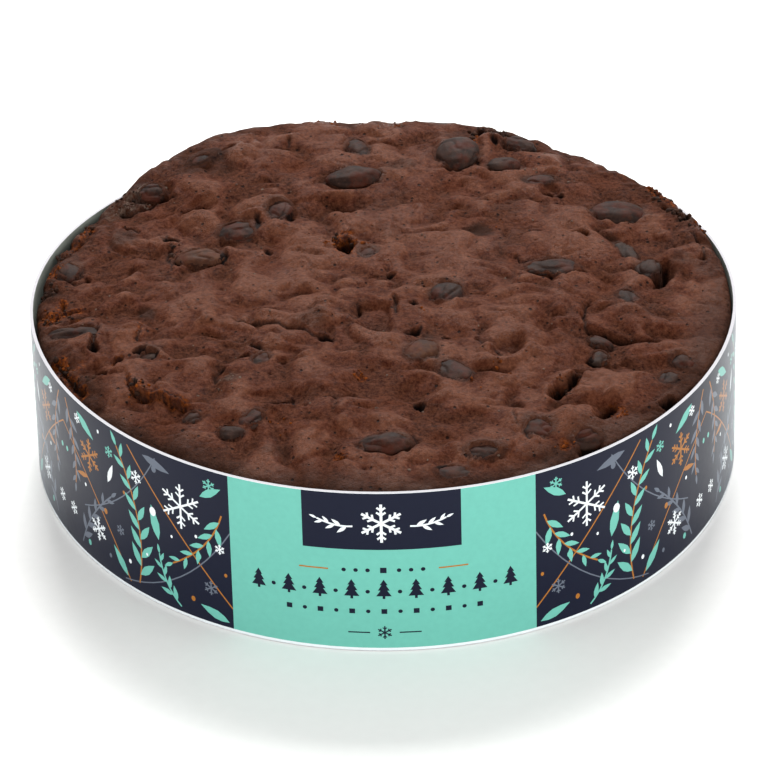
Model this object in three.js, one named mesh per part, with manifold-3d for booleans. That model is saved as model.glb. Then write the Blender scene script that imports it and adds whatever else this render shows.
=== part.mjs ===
import * as THREE from 'three';
import { mergeVertices } from 'three/addons/utils/BufferGeometryUtils.js';
import Module from 'manifold-3d';

const wasm = await Module();
wasm.setup();

// Every length is in millimetres. The underside lies on z = 0 and the front faces -Y.
const bandRadius = 84;
const bandHeight = 41;
const cardThickness = 0.75;
const bandFlare = 0.009;
const lapAngle = 100;
const lapLength = 12;
const lapRamp = 6;
const bandSegments = 120;
const fitGap = 0.3;

// The card ring is not quite round: [wave number, cosine share, sine share] of its radius.
const outlineWaves = [[2, 0.0012, -0.0032], [3, -0.0036, 0.0159], [4, -0.0031, -0.0009]];
const backSwell = { share: 0.03, angle: 105, width: 27 };

// Places where the cake stands further back from the card.
const edgeGaps = [{ extra: 1.4, angle: 8, width: 20 }, { extra: 0.8, angle: 165, width: 22 }];

// Top of the cake: a low dome, lower at the front, raised along the back edge.
const domeRise = 5.2;
const frontDrop = 1.2;
const edgeRises = [
  { rise: 6.8, angle: 95, width: 45, power: 6 },
  { rise: 2, angle: 122, width: 16, power: 2 },
  { rise: 2.3, angle: 40, width: 11, power: 4 },
];

// How the edge of the top rounds off, and where it does so more.
const shoulder = { inward: 3.6, drop: 2.2 };
const shoulderChanges = [
  { inward: 2.6, drop: 2, angle: 222, width: 24, power: 2 },
  { inward: 1.2, drop: 3, angle: 95, width: 45, power: 4 },
  { inward: 1, drop: 1.6, angle: 10, width: 18, power: 2 },
];
const topRings = 27;
const shoulderRings = 3;
const baseEdge = 2.4;

// Relief of the top: [wavelength, height, draw number].
const swells = [[27, 0.55, 11], [14, 0.4, 12], [7.5, 0.24, 13]];

// Skin lifted by a buried fruit, or sunk: [x, y, half length, half width, turn, height].
const mounds = [
  [39, 58, 5, 4, 10, 1.1], [-13, -44, 7.5, 6, 80, 1.7], [39.5, 18, 12, 7.5, 0, 1.7],
  [61, -15, 12.5, 8, -15, 1.3], [-62, 35, 11.5, 8.5, 15, 1.2], [-50, -33.5, 10, 6.5, -12, 1.2],
  [-32, -38, 9, 8, 0, 1], [38, -8, 14, 9.5, -50, 1.2], [27.5, 30, 10.5, 8, -20, 1],
  [34, -60, 9.5, 8, 20, 1.1], [21.5, -69, 10, 6.5, -8, 0.8], [-25, -24, 9, 5, -15, 0.9],
  [22, -15, 11, 6, -20, 1], [38, -28, 9, 7.5, 0, 0.9], [-4, -31, 8, 6, 60, 0.6],
  [-72, -22, 6.5, 5, 30, 0.9], [-65, -36, 7.5, 5, -30, 0.9], [-51, -43.5, 9, 3.5, -33, 1.4],
  [70, 12, 9, 5.5, 70, 1.4], [61, 46, 9, 5.5, -25, 0.9], [-13, -57, 9, 6, 10, 0.7],
  [-38, -6, 15, 10, 10, 0.6], [-64, 1, 12, 9, 0, 0.6], [-8, 6, 11, 7, -10, 0.7],
  [4.5, 54, 6, 5, 0, 0.8], [-16.5, -18, 6.5, 6, 90, 0.5], [-78, 7.5, 6.5, 4.5, 100, 0.9],
  [61, -30, 9, 6, 5, 0.8], [-1.5, -16, 8.5, 6.5, 85, -1.5], [-13, 35, 13, 6, 35, -1.6],
  [21.5, 43, 9.5, 5, 5, -1.3], [50, 0, 10, 5, 5, -1.1], [1.5, 44, 6, 5, 90, -0.8],
  [-46, 29, 7, 5, 0, -1], [-45, 39.5, 6, 3.5, 12, -1.6], [-9, 18, 5, 3, 85, -3],
  [40, -45.5, 7, 3, 54, -2.4], [49, -54, 6, 3, 66, -2.2], [44.5, -68.5, 4, 3, 30, -2.2],
  [42, 44.5, 4, 3, 80, -2], [67, 5, 7, 2.5, 68, -2.4], [-65.5, -29.5, 5, 3.5, 20, -1.6],
  [-53.5, 49, 3.5, 2.5, 80, -2], [48, 22.5, 3, 2.5, 0, -1.6], [28, -31, 6, 4.5, 75, -1.2],
  [8, -47, 6.5, 4.5, 20, -1.1], [29, -50, 9, 4.5, 30, -1.1], [-9, -62, 8, 4, 10, -1],
  [-27, -17, 11, 3, -22, -0.9], [53, -24, 11, 3, -12, -1.1],
];

// Fruits bare at the surface: [kind, x, y, length, width, turn, rise above the skin].
const fruits = [
  ['raisin', -6.5, 49.5, 14, 7.5, 12, 2.2], ['raisin', 19.5, 60, 14, 10.5, 85, 2.4],
  ['raisin', 31, 54, 8.5, 5.5, 12, 1.5], ['raisin', 35.5, 66, 8.5, 6, -20, 1.2],
  ['raisin', -5.5, 64.5, 9, 5.5, 105, 0.9], ['raisin', -35.5, 27, 10, 7, 0, 0.8],
  ['sultana', -44, 16.5, 11, 7, 0, 1.3], ['raisin', -25, 34, 8, 6.5, 70, 0.9],
  ['raisin', -57, 49.5, 8, 6.5, 15, 1.6], ['raisin', -76, 18.5, 11, 6.5, 95, 1.2],
  ['raisin', -73, -13, 13, 5.5, -4, 1], ['raisin', 58.5, 35.5, 14, 9, 6, 1.8],
  ['currant', 59, 17, 9.5, 4, 112, 0.6], ['raisin', 63.5, 8, 8.5, 6.5, 80, 1.7],
  ['raisin', 40.5, 7.5, 12.5, 6.5, 2, 0.8], ['raisin', 15, -5, 8.5, 7.5, 60, 1.1],
  ['raisin', 57.5, -6, 8, 5, 105, 0.7], ['raisin', -3.5, 15, 7, 5, 80, 0.7],
  ['sultana', 8.5, -31, 10, 7.5, 60, 1.3], ['raisin', 15.5, -39, 10.5, 6.5, -45, 1],
  ['raisin', 49.5, -25, 6.5, 5.5, -30, 1.1], ['currant', 49, -32, 5, 4, 80, 0.4],
  ['raisin', 68, -33, 6, 5, 20, 0.7], ['raisin', 64.5, -40, 6, 5, 60, 0.5],
  ['raisin', 33.5, -62.5, 8, 6.5, -10, 0.9], ['raisin', -0.5, -66, 12, 6.5, 4, 1.5],
  ['raisin', 21, -70, 9, 5.5, -5, 0.8], ['raisin', 44, -65, 8, 5, 12, 0.8],
  ['raisin', 14.5, -76, 9, 4.5, 0, 0.4], ['raisin', -43.5, -52.5, 4.5, 4, 40, 0.6],
  ['raisin', -35, -59, 6, 4, -15, 0.7], ['raisin', -30, -55, 6, 4.5, 50, 0.5],
  ['currant', -54.5, -27, 5.5, 3.5, 10, 0.5], ['currant', -28.5, -31, 6, 4.5, 65, 0.5],
  ['raisin', 40, 49.5, 8.5, 4.5, 16, 0.6], ['raisin', -44.5, 59.5, 8, 5, 35, 0.5],
];
const socketSwell = 0.38;
const fruitTones = { raisin: 0x3c3230, sultana: 0x5a4036, currant: 0x35302f };

const rad = (degrees) => degrees * Math.PI / 180;
const turnBetween = (a, b) => ((a - b + 540) % 360 + 360) % 360 - 180;
const clamp = (v, low, high) => Math.min(high, Math.max(low, v));
const smooth = (low, high, v) => {
  const t = clamp((v - low) / (high - low), 0, 1);
  return t * t * (3 - 2 * t);
};

// Repeatable draw from 0 to 1 for a grid point.
function draw(i, j, k) {
  let h = (Math.imul(i, 374761393) + Math.imul(j, 668265263) + Math.imul(k, 974634777)) | 0;
  h = Math.imul(h ^ (h >>> 13), 1274126177);
  h ^= h >>> 16;
  return (h >>> 0) / 4294967295;
}

// Smooth waves from -1 to 1 with about one unit between crests.
function waves(x, y, k) {
  const i = Math.floor(x);
  const j = Math.floor(y);
  const u = smooth(0, 1, x - i);
  const v = smooth(0, 1, y - j);
  const low = draw(i, j, k) * (1 - u) + draw(i + 1, j, k) * u;
  const high = draw(i, j + 1, k) * (1 - u) + draw(i + 1, j + 1, k) * u;
  return (low * (1 - v) + high * v) * 2 - 1;
}

// Outer radius of the card's top edge, and of the card at a height.
function outline(angle) {
  let share = 1;
  for (const [n, c, s] of outlineWaves) {
    share += c * Math.cos(n * angle) + s * Math.sin(n * angle);
  }
  const off = turnBetween(angle * 180 / Math.PI, backSwell.angle) / backSwell.width;
  return bandRadius * (share + backSwell.share * Math.exp(-off * off));
}
const cardRadius = (angle, z) => outline(angle) * (1 + bandFlare * (1 - z / bandHeight));

// Bell round an angle: 1 in the middle, flatter on top for a higher power.
function bell(angle, { angle: middle, width, power = 2 }) {
  const off = Math.abs(turnBetween(angle * 180 / Math.PI, middle)) / width;
  return Math.exp(-(off ** power));
}

// Radius of the cake's side at a height, and of its top's edge.
function wallRadius(angle, z) {
  const extra = edgeGaps.reduce((sum, gap) => sum + gap.extra * bell(angle, gap), 0);
  return cardRadius(angle, z) - cardThickness - fitGap - extra;
}
const topRadius = (angle) => wallRadius(angle, bandHeight);

// Height of the top before its edge is rounded off.
function topHeight(x, y) {
  const angle = Math.atan2(y, x);
  const share = Math.min(Math.hypot(x, y) / topRadius(angle), 1);
  let z = bandHeight + domeRise * (1 - share * share);
  z -= frontDrop * share * share * (1 - Math.sin(angle)) / 2;
  for (const edge of edgeRises) {
    z += edge.rise * bell(angle, edge) * smooth(0.2, 0.95, share);
  }
  for (const [length, height, k] of swells) {
    z += height * waves(x / length, y / length, k);
  }
  for (const [mx, my, half, side, turn, height] of mounds) {
    const c = Math.cos(rad(turn));
    const s = Math.sin(rad(turn));
    const u = ((x - mx) * c + (y - my) * s) / half;
    const v = (-(x - mx) * s + (y - my) * c) / side;
    const q = Math.min(u * u + v * v, 1);
    z += height * (1 - q * q) * (1 - q * q);
  }
  return z;
}

// How the edge of the top rounds off at an angle: width inwards and drop.
function shoulderAt(angle) {
  let { inward, drop } = shoulder;
  for (const change of shoulderChanges) {
    inward += change.inward * bell(angle, change);
    drop += change.drop * bell(angle, change);
  }
  return [inward, drop];
}

function solidFrom(positions, faces) {
  return new wasm.Manifold(new wasm.Mesh({
    numProp: 3,
    vertProperties: new Float32Array(positions),
    triVerts: new Uint32Array(faces),
  }));
}

function geometryFrom(solid) {
  const mesh = solid.getMesh();
  const geometry = new THREE.BufferGeometry();
  geometry.setAttribute('position', new THREE.BufferAttribute(new Float32Array(mesh.vertProperties), 3));
  geometry.setIndex(new THREE.BufferAttribute(new Uint32Array(mesh.triVerts), 1));
  geometry.computeVertexNormals();
  return geometry;
}

// The cake: rings of six more points each out to the edge, then the wall and the flat base.
function cakeSolid() {
  const positions = [];
  const faces = [];
  const flatRings = topRings - shoulderRings;
  const ringStart = (i) => (i === 0 ? 0 : 1 + 3 * i * (i - 1));
  positions.push(0, 0, topHeight(0, 0));
  for (let i = 1; i <= topRings; i += 1) {
    for (let j = 0; j < 6 * i; j += 1) {
      const angle = j / (6 * i) * Math.PI * 2;
      const [width, drop] = shoulderAt(angle);
      const edge = topRadius(angle);
      const round = Math.max(0, i - flatRings) / shoulderRings * Math.PI / 2;
      const flat = (edge - width) * Math.min(i / flatRings, 1);
      const r = flat + width * Math.sin(round);
      const x = r * Math.cos(angle);
      const y = r * Math.sin(angle);
      positions.push(x, y, topHeight(x, y) - drop * (1 - Math.cos(round)));
    }
  }
  for (let i = 1; i <= topRings; i += 1) {
    const outer = ringStart(i);
    const inner = ringStart(i - 1);
    const outerCount = 6 * i;
    const innerCount = Math.max(1, 6 * (i - 1));
    for (let s = 0; s < 6; s += 1) {
      for (let j = 0; j < i; j += 1) {
        const a = outer + (s * i + j) % outerCount;
        const b = outer + (s * i + j + 1) % outerCount;
        const c = inner + (s * (i - 1) + j) % innerCount;
        faces.push(a, b, c);
        if (j < i - 1) {
          faces.push(c, b, inner + (s * (i - 1) + j + 1) % innerCount);
        }
      }
    }
  }
  const count = 6 * topRings;
  const bevel = 0.3 * baseEdge;
  const levels = [[0, baseEdge], [bevel, bevel], [baseEdge, 0]];
  let last = ringStart(topRings);
  for (const [inset, z] of levels) {
    const next = positions.length / 3;
    for (let j = 0; j < count; j += 1) {
      const angle = j / count * Math.PI * 2;
      const r = wallRadius(angle, z) - inset;
      positions.push(r * Math.cos(angle), r * Math.sin(angle), z);
    }
    for (let j = 0; j < count; j += 1) {
      const k = (j + 1) % count;
      faces.push(last + j, next + j, last + k);
      faces.push(last + k, next + j, next + k);
    }
    last = next;
  }
  const centre = positions.length / 3;
  positions.push(0, 0, 0);
  for (let j = 0; j < count; j += 1) {
    faces.push(last + j, centre, last + (j + 1) % count);
  }
  return solidFrom(positions, faces);
}

// One fruit: a flattened ball with soft lumps, lying on the slope of the skin.
function fruitSolid(fruit, number, swell) {
  const [, x, y, length, width, turn, rise] = fruit;
  const half = Math.max(0.3 * width, rise * 1.12);
  const spread = 1 / Math.sqrt(Math.max(0.5, 1 - (1 - rise / half) ** 2));
  const ball = new THREE.IcosahedronGeometry(1, 1);
  ball.deleteAttribute('normal');
  ball.deleteAttribute('uv');
  const merged = mergeVertices(ball, 1e-5);
  const step = 2;
  const slopeX = (topHeight(x + step, y) - topHeight(x - step, y)) / (2 * step);
  const slopeY = (topHeight(x, y + step) - topHeight(x, y - step)) / (2 * step);
  const up = new THREE.Vector3(-slopeX, -slopeY, 1).normalize();
  const along = new THREE.Vector3(Math.cos(rad(turn)), Math.sin(rad(turn)), 0);
  along.addScaledVector(up, -along.dot(up)).normalize();
  const across = new THREE.Vector3().crossVectors(up, along);
  const middle = new THREE.Vector3(x, y, topHeight(x, y)).addScaledVector(up, rise - half);
  const points = merged.attributes.position;
  const positions = [];
  for (let i = 0; i < points.count; i += 1) {
    const p = new THREE.Vector3(points.getX(i), points.getY(i), points.getZ(i)).normalize();
    const lump = 1 + 0.07 * waves(p.x * 1.7 + number * 3.1, p.y * 1.7 + p.z * 1.3, 31);
    const place = middle.clone();
    place.addScaledVector(along, p.x * (length / 2 * spread * lump + swell));
    place.addScaledVector(across, p.y * (width / 2 * spread * lump + swell));
    place.addScaledVector(up, p.z * (half * lump + swell));
    positions.push(place.x, place.y, place.z);
  }
  return solidFrom(positions, Array.from(merged.index.array));
}

// The card band: a thin ring whose outer end laps over the inner one at the back.
function bandSolid() {
  const stops = [];
  const lapTurn = lapLength / bandRadius * 180 / Math.PI;
  const rampTurn = lapRamp / bandRadius * 180 / Math.PI;
  for (let j = 0; j < bandSegments; j += 1) {
    const degrees = lapAngle + lapTurn + (j + 0.5) * (360 - lapTurn - rampTurn) / bandSegments;
    stops.push([degrees, 0]);
  }
  stops.push([lapAngle - rampTurn + 360, 0]);
  for (let j = 0; j <= 4; j += 1) {
    stops.push([lapAngle + 360 + lapTurn * j / 4, cardThickness]);
  }
  stops.push([lapAngle + 360 + lapTurn + 0.02, 0]);
  const positions = [];
  const faces = [];
  for (const [degrees, extra] of stops) {
    const angle = rad(degrees % 360);
    for (const [inner, z] of [[0, 0], [0, bandHeight], [1, bandHeight], [1, 0]]) {
      const r = cardRadius(angle, z) + (inner ? -cardThickness : extra);
      positions.push(r * Math.cos(angle), r * Math.sin(angle), z);
    }
  }
  const count = stops.length;
  for (let i = 0; i < count; i += 1) {
    const a = 4 * i;
    const b = 4 * ((i + 1) % count);
    for (let k = 0; k < 4; k += 1) {
      const m = (k + 1) % 4;
      faces.push(a + k, b + k, b + m);
      faces.push(a + k, b + m, a + m);
    }
  }
  return solidFrom(positions, faces);
}

const group = new THREE.Group();
group.name = 'fruit_cake';

function addNode(name, solid, colour, roughness) {
  const material = new THREE.MeshStandardMaterial({ color: colour, roughness, metalness: 0 });
  const mesh = new THREE.Mesh(geometryFrom(solid), material);
  mesh.name = name;
  group.add(mesh);
}

let cake = cakeSolid();
const kindCount = {};
for (const [index, fruit] of fruits.entries()) {
  cake = cake.subtract(fruitSolid(fruit, index, socketSwell));
  const kind = fruit[0];
  kindCount[kind] = (kindCount[kind] || 0) + 1;
  const name = `${kind}_${String(kindCount[kind]).padStart(2, '0')}`;
  addNode(name, fruitSolid(fruit, index, 0), fruitTones[kind], 0.45);
}
addNode('cake', cake, 0x63402f, 0.6);
addNode('card_band', bandSolid(), 0x323a48, 0.35);

export default group;
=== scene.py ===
# A whole round fruit cake standing in its printed card band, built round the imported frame.
# The cake's front faces -Y. Shapes are worked out in millimetres and become metres in makeMesh.
import math
from functools import partial

import bmesh
import bpy
import numpy as np
from mathutils import Matrix, Vector
from mathutils.geometry import delaunay_2d_cdt


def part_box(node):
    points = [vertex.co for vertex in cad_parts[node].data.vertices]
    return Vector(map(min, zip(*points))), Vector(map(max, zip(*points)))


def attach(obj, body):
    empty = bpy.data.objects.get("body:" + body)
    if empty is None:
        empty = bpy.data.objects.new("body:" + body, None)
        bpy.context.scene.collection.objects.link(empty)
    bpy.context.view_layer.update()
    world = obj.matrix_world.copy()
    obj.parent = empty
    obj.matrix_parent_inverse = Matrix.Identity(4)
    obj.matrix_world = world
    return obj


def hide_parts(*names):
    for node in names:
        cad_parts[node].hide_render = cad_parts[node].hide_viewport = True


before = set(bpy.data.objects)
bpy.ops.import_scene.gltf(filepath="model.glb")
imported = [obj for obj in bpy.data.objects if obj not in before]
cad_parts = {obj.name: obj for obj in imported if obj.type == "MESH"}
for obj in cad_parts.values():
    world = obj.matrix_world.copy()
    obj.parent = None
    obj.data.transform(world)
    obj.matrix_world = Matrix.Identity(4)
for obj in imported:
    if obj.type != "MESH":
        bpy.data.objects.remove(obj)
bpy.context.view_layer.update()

mm = 0.001

# the card band's form, the same as its solid's
band = {
    "radius": 84.0,
    "height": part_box("card_band")[1].z / mm,
    "card": 0.75,
    "flare": 0.009,  # how much wider the bottom edge is
    "lapAngle": 100.0,  # where the outer end starts to lie over the inner one
    "lapLength": 12.0,
    "lapRamp": 6.0,
    "waves": [(2, 0.0012, -0.0032), (3, -0.0036, 0.0159), (4, -0.0031, -0.0009)],
    "swellShare": 0.03,
    "swellAngle": 105.0,
    "swellWidth": 27.0,
}

# the cake's form, its solid's but for the edge at the right, which stands nearer the card and higher
cakeForm = {
    "gap": 0.3,  # between card and cake
    "gaps": [(0.3, 8, 20, 2), (0.8, 165, 22, 2)],  # wider gaps: how much, angle, width, power
    "domeRise": 5.2,
    "frontDrop": 1.2,
    "rises": [(6.8, 95, 45, 6), (2, 122, 16, 2), (2.3, 40, 11, 4)],  # the raised back edge
    "shoulder": (3.6, 2.2),  # how the top's edge rounds off: width inwards and drop
    "shoulders": [(2.6, 2, 222, 24, 2), (1.2, 3, 95, 45, 4), (-1.4, -1.2, 6, 24, 2)],
    "swells": [(27, 0.55, 11), (14, 0.4, 12), (7.5, 0.24, 13)],  # wavelength, height, draw
    "rings": 178,
    "shoulderRings": 12,
    "baseEdge": 2.4,
    # rows down the wall: share of the way down, then inset and level as shares of the base's edge
    "wallRows": [(0.12, 0, 1), (0.4, 0, 1), (1, 0, 1), (1, 0.3, 0.3), (1, 1, 0)],
}

# skin lifted by a buried fruit, or sunk: x, y, half length, half width, turn, height
mounds = [
    (39, 58, 5, 4, 10, 1.1), (-13, -44, 7.5, 6, 80, 1.7), (39.5, 18, 12, 7.5, 0, 1.7),
    (61, -15, 12.5, 8, -15, 1.3), (-62, 35, 11.5, 8.5, 15, 1.2), (-50, -33.5, 10, 6.5, -12, 1.2),
    (-32, -38, 9, 8, 0, 1), (38, -8, 14, 9.5, -50, 1.2), (27.5, 30, 10.5, 8, -20, 1),
    (34, -60, 9.5, 8, 20, 1.1), (21.5, -69, 10, 6.5, -8, 0.8), (-25, -24, 9, 5, -15, 0.9),
    (22, -15, 11, 6, -20, 1), (38, -28, 9, 7.5, 0, 0.9), (-4, -31, 8, 6, 60, 0.6),
    (-72, -22, 6.5, 5, 30, 0.9), (-65, -36, 7.5, 5, -30, 0.9), (-51, -43.5, 9, 3.5, -33, 1.4),
    (70, 12, 9, 5.5, 70, 1.4), (61, 46, 9, 5.5, -25, 0.9), (-13, -57, 9, 6, 10, 0.7),
    (-38, -6, 15, 10, 10, 0.6), (-64, 1, 12, 9, 0, 0.6), (-8, 6, 11, 7, -10, 0.7), (4.5, 54, 6, 5, 0, 0.8),
    (-16.5, -18, 6.5, 6, 90, 0.5), (-78, 7.5, 6.5, 4.5, 100, 0.9), (61, -30, 9, 6, 5, 0.8),
    (-1.5, -16, 8.5, 6.5, 85, -1.5), (-13, 35, 13, 6, 35, -1.6), (21.5, 43, 9.5, 5, 5, -1.3),
    (50, 0, 10, 5, 5, -1.1), (1.5, 44, 6, 5, 90, -0.8), (-46, 29, 7, 5, 0, -1),
    (-45, 39.5, 6, 3.5, 12, -1.6), (-9, 18, 5, 3, 85, -3), (40, -45.5, 7, 3, 54, -2.4),
    (49, -54, 6, 3, 66, -2.2), (44.5, -68.5, 4, 3, 30, -2.2), (42, 44.5, 4, 3, 80, -2),
    (67, 5, 7, 2.5, 68, -2.4), (-65.5, -29.5, 5, 3.5, 20, -1.6), (-53.5, 49, 3.5, 2.5, 80, -2),
    (48, 22.5, 3, 2.5, 0, -1.6), (28, -31, 6, 4.5, 75, -1.2), (8, -47, 6.5, 4.5, 20, -1.1),
    (29, -50, 9, 4.5, 30, -1.1), (-9, -62, 8, 4, 10, -1), (-27, -17, 11, 3, -22, -0.9),
    (53, -24, 11, 3, -12, -1.1),
]

# fruits bare at the surface: kind, x, y, length, width, turn, rise above the skin
fruits = [
    ("raisin", -6.5, 49.5, 14, 7.5, 12, 2.2), ("raisin", 19.5, 60, 14, 10.5, 85, 2.4),
    ("raisin", 31, 54, 8.5, 5.5, 12, 1.5), ("raisin", 35.5, 66, 8.5, 6, -20, 1.2),
    ("raisin", -5.5, 64.5, 9, 5.5, 105, 0.9), ("raisin", -35.5, 27, 10, 7, 0, 0.8),
    ("sultana", -44, 16.5, 11, 7, 0, 1.3), ("raisin", -25, 34, 8, 6.5, 70, 0.9),
    ("raisin", -57, 49.5, 8, 6.5, 15, 1.6), ("raisin", -76, 18.5, 11, 6.5, 95, 1.2),
    ("raisin", -73, -13, 13, 5.5, -4, 1), ("raisin", 58.5, 35.5, 14, 9, 6, 1.8),
    ("currant", 59, 17, 9.5, 4, 112, 0.6), ("raisin", 63.5, 8, 8.5, 6.5, 80, 1.7),
    ("raisin", 40.5, 7.5, 12.5, 6.5, 2, 0.8), ("raisin", 15, -5, 8.5, 7.5, 60, 1.1),
    ("raisin", 57.5, -6, 8, 5, 105, 0.7), ("raisin", -3.5, 15, 7, 5, 80, 0.7),
    ("sultana", 8.5, -31, 10, 7.5, 60, 1.3), ("raisin", 15.5, -39, 10.5, 6.5, -45, 1),
    ("raisin", 49.5, -25, 6.5, 5.5, -30, 1.1), ("currant", 49, -32, 5, 4, 80, 0.4),
    ("raisin", 68, -33, 6, 5, 20, 0.7), ("raisin", 64.5, -40, 6, 5, 60, 0.5),
    ("raisin", 33.5, -62.5, 8, 6.5, -10, 0.9), ("raisin", -0.5, -66, 12, 6.5, 4, 1.5),
    ("raisin", 21, -70, 9, 5.5, -5, 0.8), ("raisin", 44, -65, 8, 5, 12, 0.8),
    ("raisin", 14.5, -76, 9, 4.5, 0, 0.4), ("raisin", -43.5, -52.5, 4.5, 4, 40, 0.6),
    ("raisin", -35, -59, 6, 4, -15, 0.7), ("raisin", -30, -55, 6, 4.5, 50, 0.5),
    ("currant", -54.5, -27, 5.5, 3.5, 10, 0.5), ("currant", -28.5, -31, 6, 4.5, 65, 0.5),
    ("raisin", 40, 49.5, 8.5, 4.5, 16, 0.6), ("raisin", -44.5, 59.5, 8, 5, 35, 0.5),
]

# how a fruit's hidden depth follows from its width and its rise, and the reach that gives its slope
seat = {"depthPerWidth": 0.3, "depthPerRise": 1.12, "leastShown": 0.5, "slopeReach": 2.0}

mixers = (374761393, 668265263, 974634777, 1274126177)  # large odd numbers that scatter a draw
sheetShift = (17.3, -9.7)  # between two sheets of waves laid over each other


def turnBetween(a, b):
    return (a - b + 540) % 360 - 180


def smooth(low, high, v):
    t = np.clip((v - low) / (high - low), 0, 1)
    return t * t * (3 - 2 * t)


# repeatable draw from 0 to 1 for a grid point
def draw(i, j, k):
    mask = 0xFFFFFFFF
    h = (i * mixers[0] + j * mixers[1] + k * mixers[2]) & mask
    h = ((h ^ (h >> 13)) * mixers[3]) & mask
    return (h ^ (h >> 16)) / mask


# smooth waves from -1 to 1 with about one unit between crests
def waves(x, y, k):
    x = np.asarray(x, float)
    y = np.asarray(y, float)
    i = np.floor(x).astype(np.int64)
    j = np.floor(y).astype(np.int64)
    u = smooth(0, 1, x - i)
    v = smooth(0, 1, y - j)
    low = draw(i, j, k) * (1 - u) + draw(i + 1, j, k) * u
    high = draw(i, j + 1, k) * (1 - u) + draw(i + 1, j + 1, k) * u
    return (low * (1 - v) + high * v) * 2 - 1


# the same waves with so many millimetres between crests
def spots(x, y, size, k):
    return waves(x / size, y / size, k)


# the same through a volume, by blending two sheets of waves
def wavesDeep(x, y, z, k):
    layer = np.floor(z).astype(np.int64)
    w = smooth(0, 1, z - layer)
    lowest = int(layer.min())
    sheets = []
    for n in range(lowest, int(layer.max()) + 2):
        sheets.append(waves(x + sheetShift[0] * n, y + sheetShift[1] * n, k + n))
    stack = np.array(sheets)
    point = np.arange(len(w))
    return stack[layer - lowest, point] * (1 - w) + stack[layer - lowest + 1, point] * w


def outline(angle):
    share = 1.0 + sum(c * np.cos(n * angle) + s * np.sin(n * angle) for n, c, s in band["waves"])
    off = turnBetween(np.degrees(angle), band["swellAngle"]) / band["swellWidth"]
    return band["radius"] * (share + band["swellShare"] * np.exp(-off * off))


def cardRadius(angle, z):
    return outline(angle) * (1 + band["flare"] * (1 - z / band["height"]))


# bell round an angle in degrees: 1 in the middle, flatter on top for a higher power
def bell(angle, middle, width, power):
    return np.exp(-((np.abs(turnBetween(np.degrees(angle), middle)) / width) ** power))


def wallRadius(angle, z):
    extra = sum(more * bell(angle, *where) for more, *where in cakeForm["gaps"])
    return cardRadius(angle, z) - band["card"] - cakeForm["gap"] - extra


def topRadius(angle):
    return wallRadius(angle, band["height"])


# height of the top before its edge is rounded off
def topHeight(x, y):
    form = cakeForm
    angle = np.arctan2(y, x)
    share = np.minimum(np.hypot(x, y) / topRadius(angle), 1)
    z = band["height"] + form["domeRise"] * (1 - share * share)
    z = z - form["frontDrop"] * share * share * (1 - np.sin(angle)) / 2
    for rise, *where in form["rises"]:
        z = z + rise * bell(angle, *where) * smooth(0.2, 0.95, share)
    for length, height, k in form["swells"]:
        z = z + height * waves(x / length, y / length, k)
    for mx, my, half, side, turn, height in mounds:
        q = np.minimum(ovalShare(x, y, mx, my, half, side, turn), 1)
        z = z + height * (1 - q * q) ** 2
    return z


# how far out of an oval a point lies, squared: 1 on its rim
def ovalShare(x, y, cx, cy, half, side, turn):
    c, s = math.cos(math.radians(turn)), math.sin(math.radians(turn))
    u = ((x - cx) * c + (y - cy) * s) / half
    v = (-(x - cx) * s + (y - cy) * c) / side
    return u * u + v * v


# how the edge of the top rounds off at an angle: width inwards and drop
def shoulder(angle):
    inward, drop = cakeForm["shoulder"]
    for moreInward, moreDrop, *where in cakeForm["shoulders"]:
        inward = inward + moreInward * bell(angle, *where)
        drop = drop + moreDrop * bell(angle, *where)
    return inward, drop


# where a fruit lies: its middle, its three directions, its half sizes and their share of what shows
def fruitSeat(fruit):
    _, x, y, length, width, turn, rise = fruit
    half = max(seat["depthPerWidth"] * width, rise * seat["depthPerRise"])
    spread = 1 / math.sqrt(max(seat["leastShown"], 1 - (1 - rise / half) ** 2))
    step = seat["slopeReach"]
    slopeX = float(topHeight(x + step, y) - topHeight(x - step, y)) / (2 * step)
    slopeY = float(topHeight(x, y + step) - topHeight(x, y - step)) / (2 * step)
    up = Vector((-slopeX, -slopeY, 1)).normalized()
    along = Vector((math.cos(math.radians(turn)), math.sin(math.radians(turn)), 0))
    along = (along - up * along.dot(up)).normalized()
    across = up.cross(along)
    middle = Vector((x, y, float(topHeight(x, y)))) + up * (rise - half)
    return middle, along, across, up, (length / 2 * spread, width / 2 * spread, half), spread


# a smooth-shaded mesh from points in mm and triangles or quads
def makeMesh(name, points, faces, materials, faceSlots=None):
    data = bpy.data.meshes.new(name)
    data.vertices.add(len(points))
    data.vertices.foreach_set("co", (np.asarray(points, float) * mm).astype(np.float32).ravel())
    faces = np.asarray(faces, np.int32)
    data.loops.add(faces.size)
    data.loops.foreach_set("vertex_index", faces.ravel())
    data.polygons.add(len(faces))
    data.polygons.foreach_set("loop_start", np.arange(0, faces.size, faces.shape[1], dtype=np.int32))
    for material in materials:
        data.materials.append(material)
    if faceSlots is not None:
        data.polygons.foreach_set("material_index", np.asarray(faceSlots, np.int32))
    data.update(calc_edges=True)
    data.validate()
    data.polygons.foreach_set("use_smooth", np.ones(len(data.polygons), bool))
    piece = bpy.data.objects.new(name, data)
    bpy.context.scene.collection.objects.link(piece)
    return piece


def addAttribute(piece, name, values):
    attribute = piece.data.attributes.new(name, "FLOAT", "POINT")
    attribute.data.foreach_set("value", np.asarray(values, np.float32))


# points and triangles of a ball of radius 1
def unitBall(subdivisions):
    ball = bmesh.new()
    bmesh.ops.create_icosphere(ball, subdivisions=subdivisions, radius=1.0)
    points = np.array([v.co[:] for v in ball.verts])
    faces = np.array([[v.index for v in f.verts] for f in ball.faces])
    ball.free()
    return points / np.linalg.norm(points, axis=1)[:, None], faces


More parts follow.
